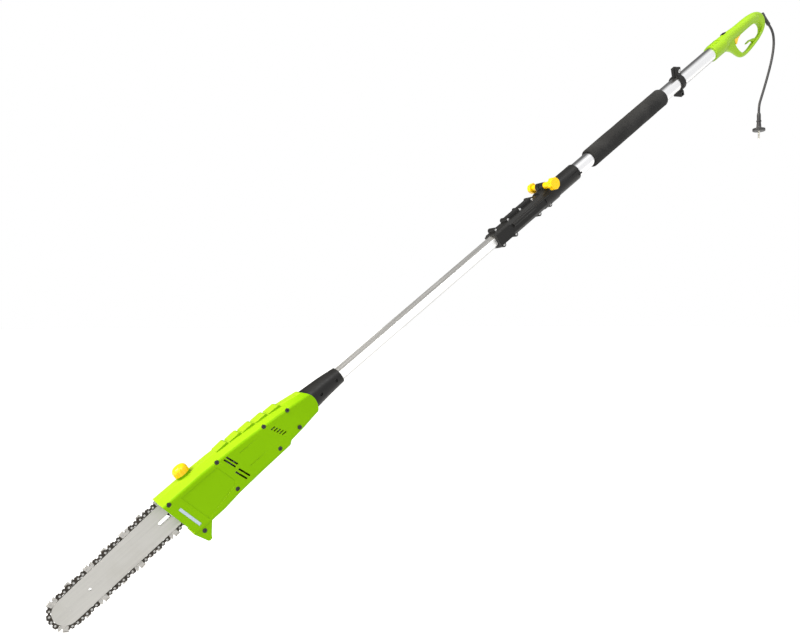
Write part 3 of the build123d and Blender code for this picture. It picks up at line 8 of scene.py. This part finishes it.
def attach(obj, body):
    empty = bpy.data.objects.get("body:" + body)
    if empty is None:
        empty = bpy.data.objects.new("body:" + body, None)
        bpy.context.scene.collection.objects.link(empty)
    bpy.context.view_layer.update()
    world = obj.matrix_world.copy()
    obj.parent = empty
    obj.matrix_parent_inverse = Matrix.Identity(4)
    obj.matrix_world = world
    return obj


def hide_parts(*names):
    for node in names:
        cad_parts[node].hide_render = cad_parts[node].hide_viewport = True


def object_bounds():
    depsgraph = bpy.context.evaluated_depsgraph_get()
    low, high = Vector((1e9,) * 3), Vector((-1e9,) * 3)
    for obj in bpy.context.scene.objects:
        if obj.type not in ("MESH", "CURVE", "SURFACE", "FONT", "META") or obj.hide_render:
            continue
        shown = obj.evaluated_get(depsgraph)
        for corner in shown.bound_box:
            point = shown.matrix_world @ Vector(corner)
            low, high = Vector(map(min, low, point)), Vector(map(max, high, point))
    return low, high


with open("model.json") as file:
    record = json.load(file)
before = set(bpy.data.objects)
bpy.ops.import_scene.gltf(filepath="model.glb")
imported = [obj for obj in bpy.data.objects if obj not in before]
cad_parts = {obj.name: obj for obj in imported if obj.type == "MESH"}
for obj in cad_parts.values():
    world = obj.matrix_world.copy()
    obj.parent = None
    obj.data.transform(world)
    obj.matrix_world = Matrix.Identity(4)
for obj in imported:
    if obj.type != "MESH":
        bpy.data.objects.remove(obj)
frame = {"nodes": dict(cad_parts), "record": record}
CAD_LOW, CAD_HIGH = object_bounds()

# The pole climbs 0.6 for every 0.8 that it runs. The saw's own directions in the shared frame are
# along the pole to the handle, across it, and to the saw's top.
RUN = 0.8
RISE = 0.6
ALONG = Vector((RUN, 0.0, RISE))
ACROSS = Vector((0.0, 1.0, 0.0))
SAW_UP = Vector((-RISE, 0.0, RUN))
POLE_TILT = math.asin(RISE)
MM = 0.001


# ---------------------------------------------------------------- camera and stage
CAMERA_PLACE = (-1.4170, -1.3973, -0.4723)
CAMERA_LOOK = Vector((0.4886, 0.8725, 0.0))
CAMERA_LENS = 35.1
CAMERA_SENSOR = 36.0
CAMERA_CLIP = (0.05, 200.0)


def make_camera():
    """A level camera in front of the nose, on the near side."""
    data = bpy.data.cameras.new("camera")
    data.sensor_width = CAMERA_SENSOR
    data.lens = CAMERA_LENS
    data.clip_start, data.clip_end = CAMERA_CLIP
    camera = bpy.data.objects.new("camera", data)
    camera.location = CAMERA_PLACE
    camera.rotation_euler = CAMERA_LOOK.to_track_quat("-Z", "Y").to_euler()
    bpy.context.scene.collection.objects.link(camera)
    bpy.context.scene.camera = camera


# The sheet lies below the nose even when the pole is drawn out to its stop.
FLOOR_GAP = 0.03
FLOOR_HALF = 60.0
TELESCOPE_REACH = 0.29


def make_stage():
    """A wide white sheet under the saw."""
    mesh = bpy.data.meshes.new("floor")
    half = FLOOR_HALF
    corners = [(-half, -half, 0), (half, -half, 0), (half, half, 0), (-half, half, 0)]
    mesh.from_pydata(corners, [], [(0, 1, 2, 3)])
    floor = bpy.data.objects.new("floor", mesh)
    floor.location = (0, 0, CAD_LOW.z - FLOOR_GAP - TELESCOPE_REACH * ALONG.z)
    bpy.context.scene.collection.objects.link(floor)
    mesh.materials.append(floor_material())


def add_sun(name, towards, power, spread, color=(1.0, 1.0, 1.0)):
    """A distant lamp seen in the given direction, spread degrees wide."""
    data = bpy.data.lights.new(name, "SUN")
    data.energy = power
    data.color = color
    data.angle = math.radians(spread)
    light = bpy.data.objects.new(name, data)
    light.rotation_euler = Vector(towards).to_track_quat("Z", "Y").to_euler()
    bpy.context.scene.collection.objects.link(light)


def make_lights():
    add_sun("top_soft", (-0.80, 0.05, 0.60), 5.2, 40, (1.0, 0.95, 0.86))
    add_sun("stripe", (-0.12, -0.57, 0.81), 0.9, 14)


# Brightness of the room at places from its near side (0) to its far side (1).
ROOM_STOPS = [(0.0, 1.0), (0.44, 0.95), (0.60, 0.34), (1.0, 0.20)]
ROOM_BLUE = 1.01
ROOM_STRENGTH = 0.95


def make_world():
    """A room bright on the near side and grey on the far one, so that metal shows dark edges.

    The camera itself sees plain white behind the saw.
    """
    world = bpy.data.worlds.new("studio")
    bpy.context.scene.world = world
    world.use_nodes = True
    tree = world.node_tree
    tree.nodes.clear()
    out = tree.nodes.new("ShaderNodeOutputWorld")
    shade = tree.nodes.new("ShaderNodeBackground")
    backdrop = tree.nodes.new("ShaderNodeBackground")
    mix = tree.nodes.new("ShaderNodeMixShader")
    path = tree.nodes.new("ShaderNodeLightPath")
    coords = tree.nodes.new("ShaderNodeTexCoord")
    split = tree.nodes.new("ShaderNodeSeparateXYZ")
    ramp = tree.nodes.new("ShaderNodeValToRGB")
    ramp.color_ramp.elements[0].position = ROOM_STOPS[0][0]
    ramp.color_ramp.elements[1].position = ROOM_STOPS[-1][0]
    for position, _ in ROOM_STOPS[1:-1]:
        ramp.color_ramp.elements.new(position)
    for element, (_, level) in zip(ramp.color_ramp.elements, ROOM_STOPS):
        element.color = (level, level, level * ROOM_BLUE, 1)
    scale = tree.nodes.new("ShaderNodeMapRange")
    scale.inputs["From Min"].default_value = -1.0
    scale.inputs["From Max"].default_value = 1.0
    tree.links.new(coords.outputs["Generated"], split.inputs[0])
    tree.links.new(split.outputs["Y"], scale.inputs["Value"])
    tree.links.new(scale.outputs["Result"], ramp.inputs[0])
    tree.links.new(ramp.outputs[0], shade.inputs["Color"])
    shade.inputs["Strength"].default_value = ROOM_STRENGTH
    backdrop.inputs["Color"].default_value = (1, 1, 1, 1)
    tree.links.new(path.outputs["Is Camera Ray"], mix.inputs[0])
    tree.links.new(shade.outputs[0], mix.inputs[1])
    tree.links.new(backdrop.outputs[0], mix.inputs[2])
    tree.links.new(mix.outputs[0], out.inputs[0])
    bpy.context.scene.view_settings.view_transform = "Standard"


# ---------------------------------------------------------------- material building blocks
NOISE_ROUGHNESS = 0.55
BEVEL_SAMPLES = 6
EDGE_BEND = (0.02, 0.25)


class Surface:
    """A node material on one Principled shader, built up from small named steps."""

    def __init__(self, name, base, rough, metallic=0.0, **constants):
        self.material = bpy.data.materials.new(name)
        self.material.use_nodes = True
        self.tree = self.material.node_tree
        self.tree.nodes.clear()
        out = self.node("ShaderNodeOutputMaterial")
        self.shader = self.node("ShaderNodeBsdfPrincipled")
        self.link(self.shader.outputs[0], out.inputs[0])
        self.shader.inputs["Base Color"].default_value = (*base, 1)
        self.shader.inputs["Roughness"].default_value = rough
        self.shader.inputs["Metallic"].default_value = metallic
        for key, value in constants.items():
            socket = key.replace("_", " ").title().replace("Ior", "IOR")
            self.shader.inputs[socket].default_value = value
        coords = self.node("ShaderNodeTexCoord")
        turn = self.node("ShaderNodeMapping")
        turn.inputs["Rotation"].default_value = (0, POLE_TILT, 0)
        self.link(coords.outputs["Object"], turn.inputs["Vector"])
        self.place = turn.outputs[0]
        self.normal = None
        self.color = None
        self.base = base

    def node(self, kind):
        return self.tree.nodes.new(kind)

    def link(self, source, target):
        self.tree.links.new(source, target)

    def stretched(self, factors):
        """The place, squeezed along the pole, across it and to its top."""
        mapping = self.node("ShaderNodeMapping")
        mapping.inputs["Scale"].default_value = factors
        self.link(self.place, mapping.inputs["Vector"])
        return mapping.outputs[0]

    def noise(self, scale, detail=3.0, stretch=None):
        """Clouds of the given scale (per metre), drawn out along the stretch if there is one."""
        texture = self.node("ShaderNodeTexNoise")
        texture.inputs["Scale"].default_value = scale
        texture.inputs["Detail"].default_value = detail
        texture.inputs["Roughness"].default_value = NOISE_ROUGHNESS
        self.link(self.stretched(stretch) if stretch else self.place, texture.inputs["Vector"])
        return texture.outputs["Fac"]

    def cells(self, scale):
        """Distance to the nearest cell centre, for foam."""
        texture = self.node("ShaderNodeTexVoronoi")
        texture.inputs["Scale"].default_value = scale
        self.link(self.place, texture.inputs["Vector"])
        return texture.outputs["Distance"]

    def span(self, value, low, high, to_low=0.0, to_high=1.0):
        """The value's range low to high, mapped to the other range and clamped."""
        ranged = self.node("ShaderNodeMapRange")
        ranged.inputs["From Min"].default_value = low
        ranged.inputs["From Max"].default_value = high
        ranged.inputs["To Min"].default_value = to_low
        ranged.inputs["To Max"].default_value = to_high
        self.link(value, ranged.inputs["Value"])
        return ranged.outputs["Result"]

    def math(self, kind, a, b):
        """A sum, product or difference of two numbers or sockets."""
        step = self.node("ShaderNodeMath")
        step.operation = kind
        for socket, value in zip(step.inputs, (a, b)):
            if isinstance(value, (int, float)):
                socket.default_value = value
            else:
                self.link(value, socket)
        return step.outputs[0]

    def tint(self, mask, color, amount=1.0):
        """Mixes another colour in where the mask is high."""
        mix = self.node("ShaderNodeMix")
        mix.data_type = "RGBA"
        factor = mask if amount == 1.0 else self.math("MULTIPLY", mask, amount)
        self.link(factor, mix.inputs["Factor"])
        if self.color is None:
            mix.inputs["A"].default_value = (*self.base, 1)
        else:
            self.link(self.color, mix.inputs["A"])
        mix.inputs["B"].default_value = (*color, 1)
        self.color = mix.outputs["Result"]
        self.link(self.color, self.shader.inputs["Base Color"])

    def facing(self, low, high):
        """0 to 1 as a face turns from low to high towards the saw's top (cosine of the angle)."""
        coords = self.node("ShaderNodeTexCoord")
        dot = self.node("ShaderNodeVectorMath")
        dot.operation = "DOT_PRODUCT"
        dot.inputs[1].default_value = SAW_UP
        self.link(coords.outputs["Normal"], dot.inputs[0])
        return self.span(dot.outputs["Value"], low, high)

    def sheen_of(self, mask, low, high):
        """Roughness that runs from low to high with the mask."""
        self.link(self.span(mask, 0.3, 0.7, low, high), self.shader.inputs["Roughness"])

    def bevel(self, radius):
        bevel = self.node("ShaderNodeBevel")
        bevel.samples = BEVEL_SAMPLES
        bevel.inputs["Radius"].default_value = radius
        return bevel.outputs[0]

    def round_edges(self, radius):
        """Catches light on sharp edges as if they had the given radius."""
        self.normal = self.bevel(radius)
        self.link(self.normal, self.shader.inputs["Normal"])

    def relief(self, height, depth):
        """Bumps of the given depth on top of the rounded edges and any earlier bumps."""
        bump = self.node("ShaderNodeBump")
        bump.inputs["Strength"].default_value = 1.0
        bump.inputs["Distance"].default_value = depth
        self.link(height, bump.inputs["Height"])
        if self.normal is not None:
            self.link(self.normal, bump.inputs["Normal"])
        self.normal = bump.outputs[0]
        self.link(self.normal, self.shader.inputs["Normal"])

    def edge_mask(self, radius):
        """1 on sharp edges, 0 on flat faces."""
        bent = self.bevel(radius)
        geometry = self.node("ShaderNodeNewGeometry")
        dot = self.node("ShaderNodeVectorMath")
        dot.operation = "DOT_PRODUCT"
        self.link(bent, dot.inputs[0])
        self.link(geometry.outputs["Normal"], dot.inputs[1])
        return self.span(self.math("SUBTRACT", 1.0, dot.outputs["Value"]), *EDGE_BEND)


COAT_ROUGHNESS = 0.12
# Faces turned this far towards the saw's top take painted light: a lighter colour, as if lit from above.
PAINTED_LIGHT_TOP_FACES = (0.80, 0.97)
WEAR_RADIUS = 0.5 * MM


def moulded(name, base, rough, grain, coat=0.0, edge=None, edge_radius=0.7 * MM, deep=None, shine=0.5,
            dust_share=0.25, painted_top_light=None):
    """Injection-moulded plastic: spark-eroded grain, faint flow clouds, dust, softened edges, and painted
    light on faces turned to the top where a top tint is given.
    """
    surface = Surface(name, base, rough, coat_weight=coat, coat_roughness=COAT_ROUGHNESS,
                      specular_ior_level=shine)
    clouds = surface.noise(9.0, 2.0)
    surface.tint(surface.span(clouds, 0.35, 0.75), deep or tuple(c * 0.82 for c in base), 0.55)
    # Painted light: faces turned to the saw's top are tinted lighter, as if lit from above.
    if painted_top_light:
        surface.tint(surface.facing(*PAINTED_LIGHT_TOP_FACES), painted_top_light, 0.9)
    if edge:
        patches = surface.span(surface.noise(160.0), 0.4, 0.7)
        wear = surface.math("MULTIPLY", surface.edge_mask(WEAR_RADIUS), patches)
        surface.tint(wear, edge, 0.5)
    if dust_share:
        dust = surface.span(surface.noise(900.0, 4.0), 0.66, 0.78)
        surface.tint(dust, tuple(min(1.0, c * 0.7 + 0.12) for c in base), dust_share)
    surface.sheen_of(surface.noise(55.0, 4.0), rough * 0.85, rough * 1.2)
    surface.round_edges(edge_radius)
    surface.relief(surface.noise(1500.0, 2.0), grain)
    return surface.material


def brushed(name, base, rough, stretch, depth, dark=None, smudge=0.3, metallic=1.0, lines_share=0.5,
            painted_top_light=None, painted_under_light=None):
    """Ground or drawn metal: fine lines along one direction, and smudges.

    The last two arguments each hold the span of faces, as Surface.facing takes it, and the tint on them: a
    painted reflection, darker on the top faces and lighter on the under faces.
    """
    surface = Surface(name, base, rough, metallic=metallic)
    # Painted reflection: faces turned to the top are tinted darker and faces turned down lighter, standing
    # in for the room's reflection.
    if painted_top_light:
        surface.tint(surface.facing(*painted_top_light[0]), painted_top_light[1])
    if painted_under_light:
        surface.tint(surface.facing(*painted_under_light[0]), painted_under_light[1])
    lines = surface.noise(700.0, 4.0, stretch)
    surface.tint(surface.span(lines, 0.3, 0.7), tuple(c * 0.86 for c in base), lines_share)
    cloud = surface.noise(14.0, 4.0)
    surface.tint(surface.span(cloud, 0.5, 0.8), dark or tuple(c * 0.7 for c in base), smudge)
    surface.sheen_of(surface.noise(380.0, 4.0, stretch), rough * 0.75, rough * 1.35)
    surface.round_edges(0.3 * MM)
    surface.relief(lines, depth)
    return surface.material


def floor_material():
    """White paper that glows a little, so that it joins the white room."""
    surface = Surface("floor_paper", (0.42, 0.42, 0.42), 0.9, specular_ior_level=0.0)
    surface.tint(surface.noise(3.0, 3.0), (0.40, 0.40, 0.40), 0.4)
    surface.shader.inputs["Emission Color"].default_value = (1, 1, 1, 1)
    surface.shader.inputs["Emission Strength"].default_value = 0.62
    return surface.material


# ---------------------------------------------------------------- materials
# Which way the brushed lines run: along the pole, or across it.
LONG = (0.02, 1.0, 1.0)
ROUND = (1.0, 0.06, 0.06)


def housing_green():
    # The top tint is painted light: the crown and spine are coloured lighter and yellower, as if lit from
    # above.
    return moulded("housing_green", (0.185, 0.395, 0.0), 0.36, 0.02 * MM, shine=0.05, dust_share=0.02,
                   edge=(0.36, 0.66, 0.02), edge_radius=0.9 * MM, deep=(0.165, 0.36, 0.0),
                   painted_top_light=(0.30, 0.46, 0.01))


def handle_green():
    return moulded("handle_green", (0.25, 0.44, 0.0), 0.30, 0.0005 * MM, coat=0.1, shine=0.3, dust_share=0.0,
                   edge_radius=0.25 * MM, deep=(0.22, 0.40, 0.0))


def black_plastic():
    return moulded("black_plastic", (0.009, 0.009, 0.0085), 0.42, 0.025 * MM, edge=(0.07, 0.07, 0.07),
                   shine=0.25, dust_share=0.08)


def grey_plastic():
    return moulded("grey_plastic", (0.32, 0.33, 0.34), 0.5, 0.04 * MM)


def yellow_plastic():
    return moulded("yellow_plastic", (0.86, 0.55, 0.0), 0.30, 0.01 * MM, coat=0.08, shine=0.3,
                   dust_share=0.05, edge=(1.0, 0.75, 0.15), deep=(0.80, 0.42, 0.0))


def trigger_orange():
    return moulded("trigger_orange", (0.90, 0.55, 0.0), 0.3, 0.01 * MM, coat=0.3, deep=(0.8, 0.4, 0.0))


def natural_plastic():
    surface = Surface("natural_plastic", (0.72, 0.73, 0.68), 0.42, subsurface_weight=0.3,
                      subsurface_scale=0.004)
    surface.tint(surface.span(surface.noise(30.0), 0.4, 0.7), (0.6, 0.58, 0.48), 0.4)
    surface.round_edges(0.8 * MM)
    surface.relief(surface.noise(700.0), 0.04 * MM)
    return surface.material


def window_clear():
    surface = Surface("window_clear", (0.52, 0.63, 0.70), 0.16, transmission_weight=0.25)
    surface.tint(surface.span(surface.noise(120.0), 0.35, 0.7), (0.40, 0.52, 0.60), 0.5)
    surface.sheen_of(surface.noise(300.0), 0.12, 0.25)
    surface.round_edges(0.5 * MM)
    return surface.material


def tube_steel():
    # The top and under tints are a painted reflection: a grey upper edge and a lighter grey lower edge on
    # the polished tube.
    return brushed("tube_steel", (0.93, 0.93, 0.93), 0.22, LONG, 0.0004 * MM, smudge=0.06, lines_share=0.1,
                   painted_top_light=((0.60, 0.92), (0.42, 0.42, 0.42)), painted_under_light=((-0.80, -0.97), (0.5, 0.5, 0.5)))


def tube_aluminium():
    # The top and under tints are a painted reflection: a dark grey upper edge and a lighter grey lower edge
    # on the tube.
    return brushed("tube_aluminium", (0.92, 0.92, 0.91), 0.34, LONG, 0.0003 * MM, smudge=0.06,
                   metallic=0.7, lines_share=0.1,
                   painted_top_light=((0.40, 0.75), (0.30, 0.30, 0.295)), painted_under_light=((-0.62, -0.85), (0.45, 0.45, 0.45)))


def bar_steel():
    return brushed("bar_steel", (0.48, 0.475, 0.455), 0.38, LONG, 0.003 * MM, dark=(0.34, 0.33, 0.29),
                   smudge=0.35)


def chain_steel():
    surface = Surface("chain_steel", (0.040, 0.037, 0.033), 0.42, metallic=0.8)
    surface.tint(surface.span(surface.noise(240.0, 5.0), 0.45, 0.7), (0.075, 0.052, 0.034), 0.5)
    surface.tint(surface.edge_mask(0.3 * MM), (0.20, 0.19, 0.18), 0.4)
    surface.sheen_of(surface.noise(500.0), 0.25, 0.6)
    surface.round_edges(0.3 * MM)
    surface.relief(surface.noise(900.0, 4.0), 0.03 * MM)
    return surface.material


def cutter_chrome():
    surface = Surface("cutter_chrome", (0.42, 0.41, 0.39), 0.30, metallic=1.0)
    surface.tint(surface.span(surface.noise(300.0, 4.0), 0.55, 0.78), (0.15, 0.13, 0.11), 0.5)
    surface.tint(surface.edge_mask(0.4 * MM), (0.8, 0.79, 0.77), 0.8)
    surface.sheen_of(surface.noise(500.0), 0.18, 0.42)
    surface.round_edges(0.25 * MM)
    return surface.material


def screw_steel():
    return brushed("screw_steel", (0.74, 0.74, 0.73), 0.26, ROUND, 0.006 * MM, smudge=0.2)


def dark_screw():
    return brushed("dark_screw", (0.05, 0.05, 0.05), 0.42, ROUND, 0.01 * MM, metallic=0.7)


def gear_steel():
    return brushed("gear_steel", (0.42, 0.42, 0.41), 0.33, ROUND, 0.008 * MM, dark=(0.2, 0.18, 0.13))


def core_steel():
    surface = Surface("core_steel", (0.27, 0.27, 0.28), 0.45, metallic=0.9)
    surface.tint(surface.span(surface.noise(60.0), 0.45, 0.7), (0.17, 0.14, 0.11), 0.4)
    surface.relief(surface.noise(2600.0, 1.0, (1.0, 0.01, 0.01)), 0.06 * MM)
    return surface.material


def copper_wire():
    surface = Surface("copper_wire", (0.50, 0.20, 0.06), 0.3, metallic=0.8, coat_weight=0.5)
    surface.tint(surface.span(surface.noise(80.0), 0.4, 0.7), (0.33, 0.11, 0.03), 0.5)
    surface.relief(surface.noise(1500.0, 2.0, (1.0, 0.05, 1.0)), 0.2 * MM)
    return surface.material


def copper_bar():
    return brushed("copper_bar", (0.75, 0.40, 0.22), 0.25, ROUND, 0.01 * MM, dark=(0.3, 0.15, 0.08))


def carbon():
    return moulded("carbon", (0.03, 0.03, 0.03), 0.6, 0.03 * MM)


def foam():
    surface = Surface("foam", (0.026, 0.026, 0.0255), 0.9, specular_ior_level=0.2)
    cells = surface.cells(1100.0)
    surface.tint(surface.span(cells, 0.0, 0.5), (0.012, 0.012, 0.012), 0.7)
    surface.tint(surface.span(surface.noise(22.0, 4.0), 0.45, 0.75), (0.038, 0.038, 0.037), 0.6)
    surface.tint(surface.span(surface.noise(1400.0, 2.0), 0.62, 0.75), (0.07, 0.07, 0.07), 0.3)
    surface.relief(cells, 0.35 * MM)
    surface.relief(surface.noise(70.0, 4.0), 0.5 * MM)
    return surface.material


def seal_rubber():
    return moulded("seal_rubber", (0.02, 0.02, 0.02), 0.7, 0.03 * MM)


def cord_rubber():
    surface = Surface("cord_rubber", (0.022, 0.022, 0.023), 0.42)
    surface.tint(surface.span(surface.noise(60.0, 4.0), 0.45, 0.75), (0.045, 0.045, 0.045), 0.6)
    surface.sheen_of(surface.noise(120.0, 4.0), 0.34, 0.58)
    surface.round_edges(0.5 * MM)
    surface.relief(surface.noise(900.0, 3.0), 0.03 * MM)
    return surface.material


def plug_brass():
    return brushed("plug_brass", (0.72, 0.70, 0.62), 0.22, ROUND, 0.004 * MM, dark=(0.45, 0.36, 0.2))


MAKERS = [housing_green, handle_green, black_plastic, grey_plastic, yellow_plastic, trigger_orange,
          natural_plastic, window_clear, tube_steel, tube_aluminium, bar_steel, chain_steel,
          cutter_chrome, screw_steel, dark_screw, gear_steel, core_steel, copper_wire, copper_bar,
          carbon, foam, seal_rubber, cord_rubber, plug_brass]


def dress_nodes(materials):
    """Every CAD node takes the material of its slot in the record."""
    for part in frame["record"]["subparts"]:
        mesh = frame["nodes"][part["node"]].data
        mesh.materials.clear()
        mesh.materials.append(materials[part["material_slot"]])
        for face in mesh.polygons:
            face.material_index = 0


# ---------------------------------------------------------------- mesh helpers
def new_object(name, points, faces, material):
    """A smooth-shaded mesh object in the scene."""
    mesh = bpy.data.meshes.new(name)
    mesh.from_pydata([tuple(p) for p in points], [], faces)
    mesh.materials.append(material)
    for face in mesh.polygons:
        face.use_smooth = True
    made = bpy.data.objects.new(name, mesh)
    bpy.context.scene.collection.objects.link(made)
    return made


def lathe(name, origin, axis, side, profile, segments, material, wobble=None):
    """Turns (distance along the axis, radius) pairs round an axis; a closed profile makes a ring."""
    axis = axis.normalized()
    side = (side - axis * side.dot(axis)).normalized()
    other = axis.cross(side)
    points = []
    for distance, radius in profile:
        for i in range(segments):
            turn = 2 * math.pi * i / segments
            out = side * math.cos(turn) + other * math.sin(turn)
            extra = wobble(distance, turn, radius) if wobble else 0.0
            points.append(origin + axis * distance + out * (radius + extra))
    faces = []
    rows = len(profile)
    for row in range(rows):
        after = (row + 1) % rows
        for i in range(segments):
            j = (i + 1) % segments
            faces.append((row * segments + i, row * segments + j,
                          after * segments + j, after * segments + i))
    return new_object(name, points, faces, material)


# ---------------------------------------------------------------- foam grip
GRIP_HALF = 149.0 * MM
GRIP_R = 23.0 * MM
GRIP_BORE = 17.35 * MM
GRIP_EDGE = 3.4 * MM
GRIP_ROWS = 150
GRIP_EDGE_STEPS = 7
GRIP_SEGMENTS = 96
# Unevenness of the skin: how often it waves along and round the grip, and how high, broad then fine.
GRIP_WAVES = [(28.0, 1.1, 0.35 * MM), (160.0, 4.5, 0.16 * MM)]


def grip_wobble(distance, turn, radius):
    """How far the foam's skin stands out from its true radius; the bore stays true."""
    if radius < GRIP_R - GRIP_EDGE:
        return 0.0
    height = 0.0
    for along, around, size in GRIP_WAVES:
        spot = Vector((distance * along, math.cos(turn) * around, math.sin(turn) * around))
        height += noise.noise(spot) * size
    return height


def make_foam(material):
    """A slipped-on foam sleeve: rolled ends, and a skin that is never quite even."""
    quarter = [math.pi / 2 * i / GRIP_EDGE_STEPS for i in range(GRIP_EDGE_STEPS + 1)]
    profile = [(-GRIP_HALF + GRIP_EDGE - GRIP_EDGE * math.cos(angle),
                GRIP_R - GRIP_EDGE + GRIP_EDGE * math.sin(angle)) for angle in quarter]
    start = profile[-1][0]
    for i in range(1, GRIP_ROWS):
        profile.append((start - 2 * start * i / GRIP_ROWS, GRIP_R))
    profile += [(-d, r) for d, r in reversed(profile[:GRIP_EDGE_STEPS + 1])]
    profile += [(GRIP_HALF, GRIP_BORE), (-GRIP_HALF, GRIP_BORE)]

    grip = lathe("foam_sleeve", Vector((0, 0, 0)), ALONG, ACROSS, profile, GRIP_SEGMENTS, material,
                 grip_wobble)
    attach(grip, "pole")
    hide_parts("foam_grip")


# ---------------------------------------------------------------- cord and strain relief
CORD_DIAMETER = 6.6 * MM
# The cord's route in the pole's plane, x and z in millimetres, from the relief to the plug.
CORD_POINTS = [(545.0, 353.0), (553.7, 346.2), (561.1, 336.8), (566.9, 323.0), (568.0, 297.0),
               (559.5, 258.5), (545.5, 220.0), (529.0, 179.0), (512.5, 142.0), (503.0, 120.0),
               (503.0, 100.0)]


def make_cord(material):
    """The mains cord, as one smooth curve that hangs in the pole's plane."""
    curve = bpy.data.curves.new("mains_cord", "CURVE")
    curve.dimensions = "3D"
    spline = curve.splines.new("NURBS")
    spline.points.add(len(CORD_POINTS) - 1)
    for point, (x, z) in zip(spline.points, CORD_POINTS):
        point.co = (x * MM, 0.0, z * MM, 1.0)
    spline.order_u = 3
    spline.use_endpoint_u = True
    curve.resolution_u = 16
    curve.bevel_depth = CORD_DIAMETER / 2
    curve.bevel_resolution = 8
    curve.use_fill_caps = True
    curve.materials.append(material)
    cord = bpy.data.objects.new("mains_cord", curve)
    bpy.context.scene.collection.objects.link(cord)
    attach(cord, "pole")
    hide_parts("cord")


# The strain relief, in millimetres: a root in the handle, tapering ribs, an end bead and a bore.
RELIEF_LENGTH = 38.0
RELIEF_BORE = 3.2
RELIEF_RIBS = 7
RELIEF_RIB_START = 12.0
RELIEF_RIB_PITCH = 3.2
RELIEF_RIB_R = 5.4
RELIEF_RIB_TAPER = 0.1
RELIEF_RIB_DEPTH = 1.0
RELIEF_SEGMENTS = 40


def make_relief(material):
    """A tapered, ribbed sleeve that stiffens the cord where it leaves the handle."""
    first = Vector((CORD_POINTS[0][0], 0, CORD_POINTS[0][1]))
    along = (Vector((CORD_POINTS[1][0], 0, CORD_POINTS[1][1])) - first).normalized()
    ribs = [(0.0, 6.1), (7.8, 6.1), (8.2, 5.5), (11.5, 5.4)]
    for i in range(RELIEF_RIBS):
        begin = RELIEF_RIB_START + RELIEF_RIB_PITCH * i
        high = RELIEF_RIB_R - RELIEF_RIB_TAPER * i
        low = high - RELIEF_RIB_DEPTH
        ribs += [(begin, low), (begin + 0.9, low), (begin + 1.2, high), (begin + 2.9, high)]
    ribs += [(RELIEF_LENGTH - 3.0, 4.7), (RELIEF_LENGTH - 2.7, 5.2), (RELIEF_LENGTH - 0.4, 5.2),
             (RELIEF_LENGTH, 4.9), (RELIEF_LENGTH, RELIEF_BORE), (0.0, RELIEF_BORE)]
    profile = [(distance * MM, radius * MM) for distance, radius in ribs]
    origin = (first - along * RELIEF_LENGTH) * MM
    sleeve = lathe("cord_sleeve", origin, along, ACROSS, profile, RELIEF_SEGMENTS, material)
    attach(sleeve, "pole")
    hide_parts("strain_relief")


def main():
    make_camera()
    materials = {maker.__name__: maker() for maker in MAKERS}
    make_cord(materials["cord_rubber"])
    make_stage()
    make_lights()
    make_world()
    dress_nodes(materials)
    make_relief(materials["cord_rubber"])
    make_foam(materials["foam"])


main()
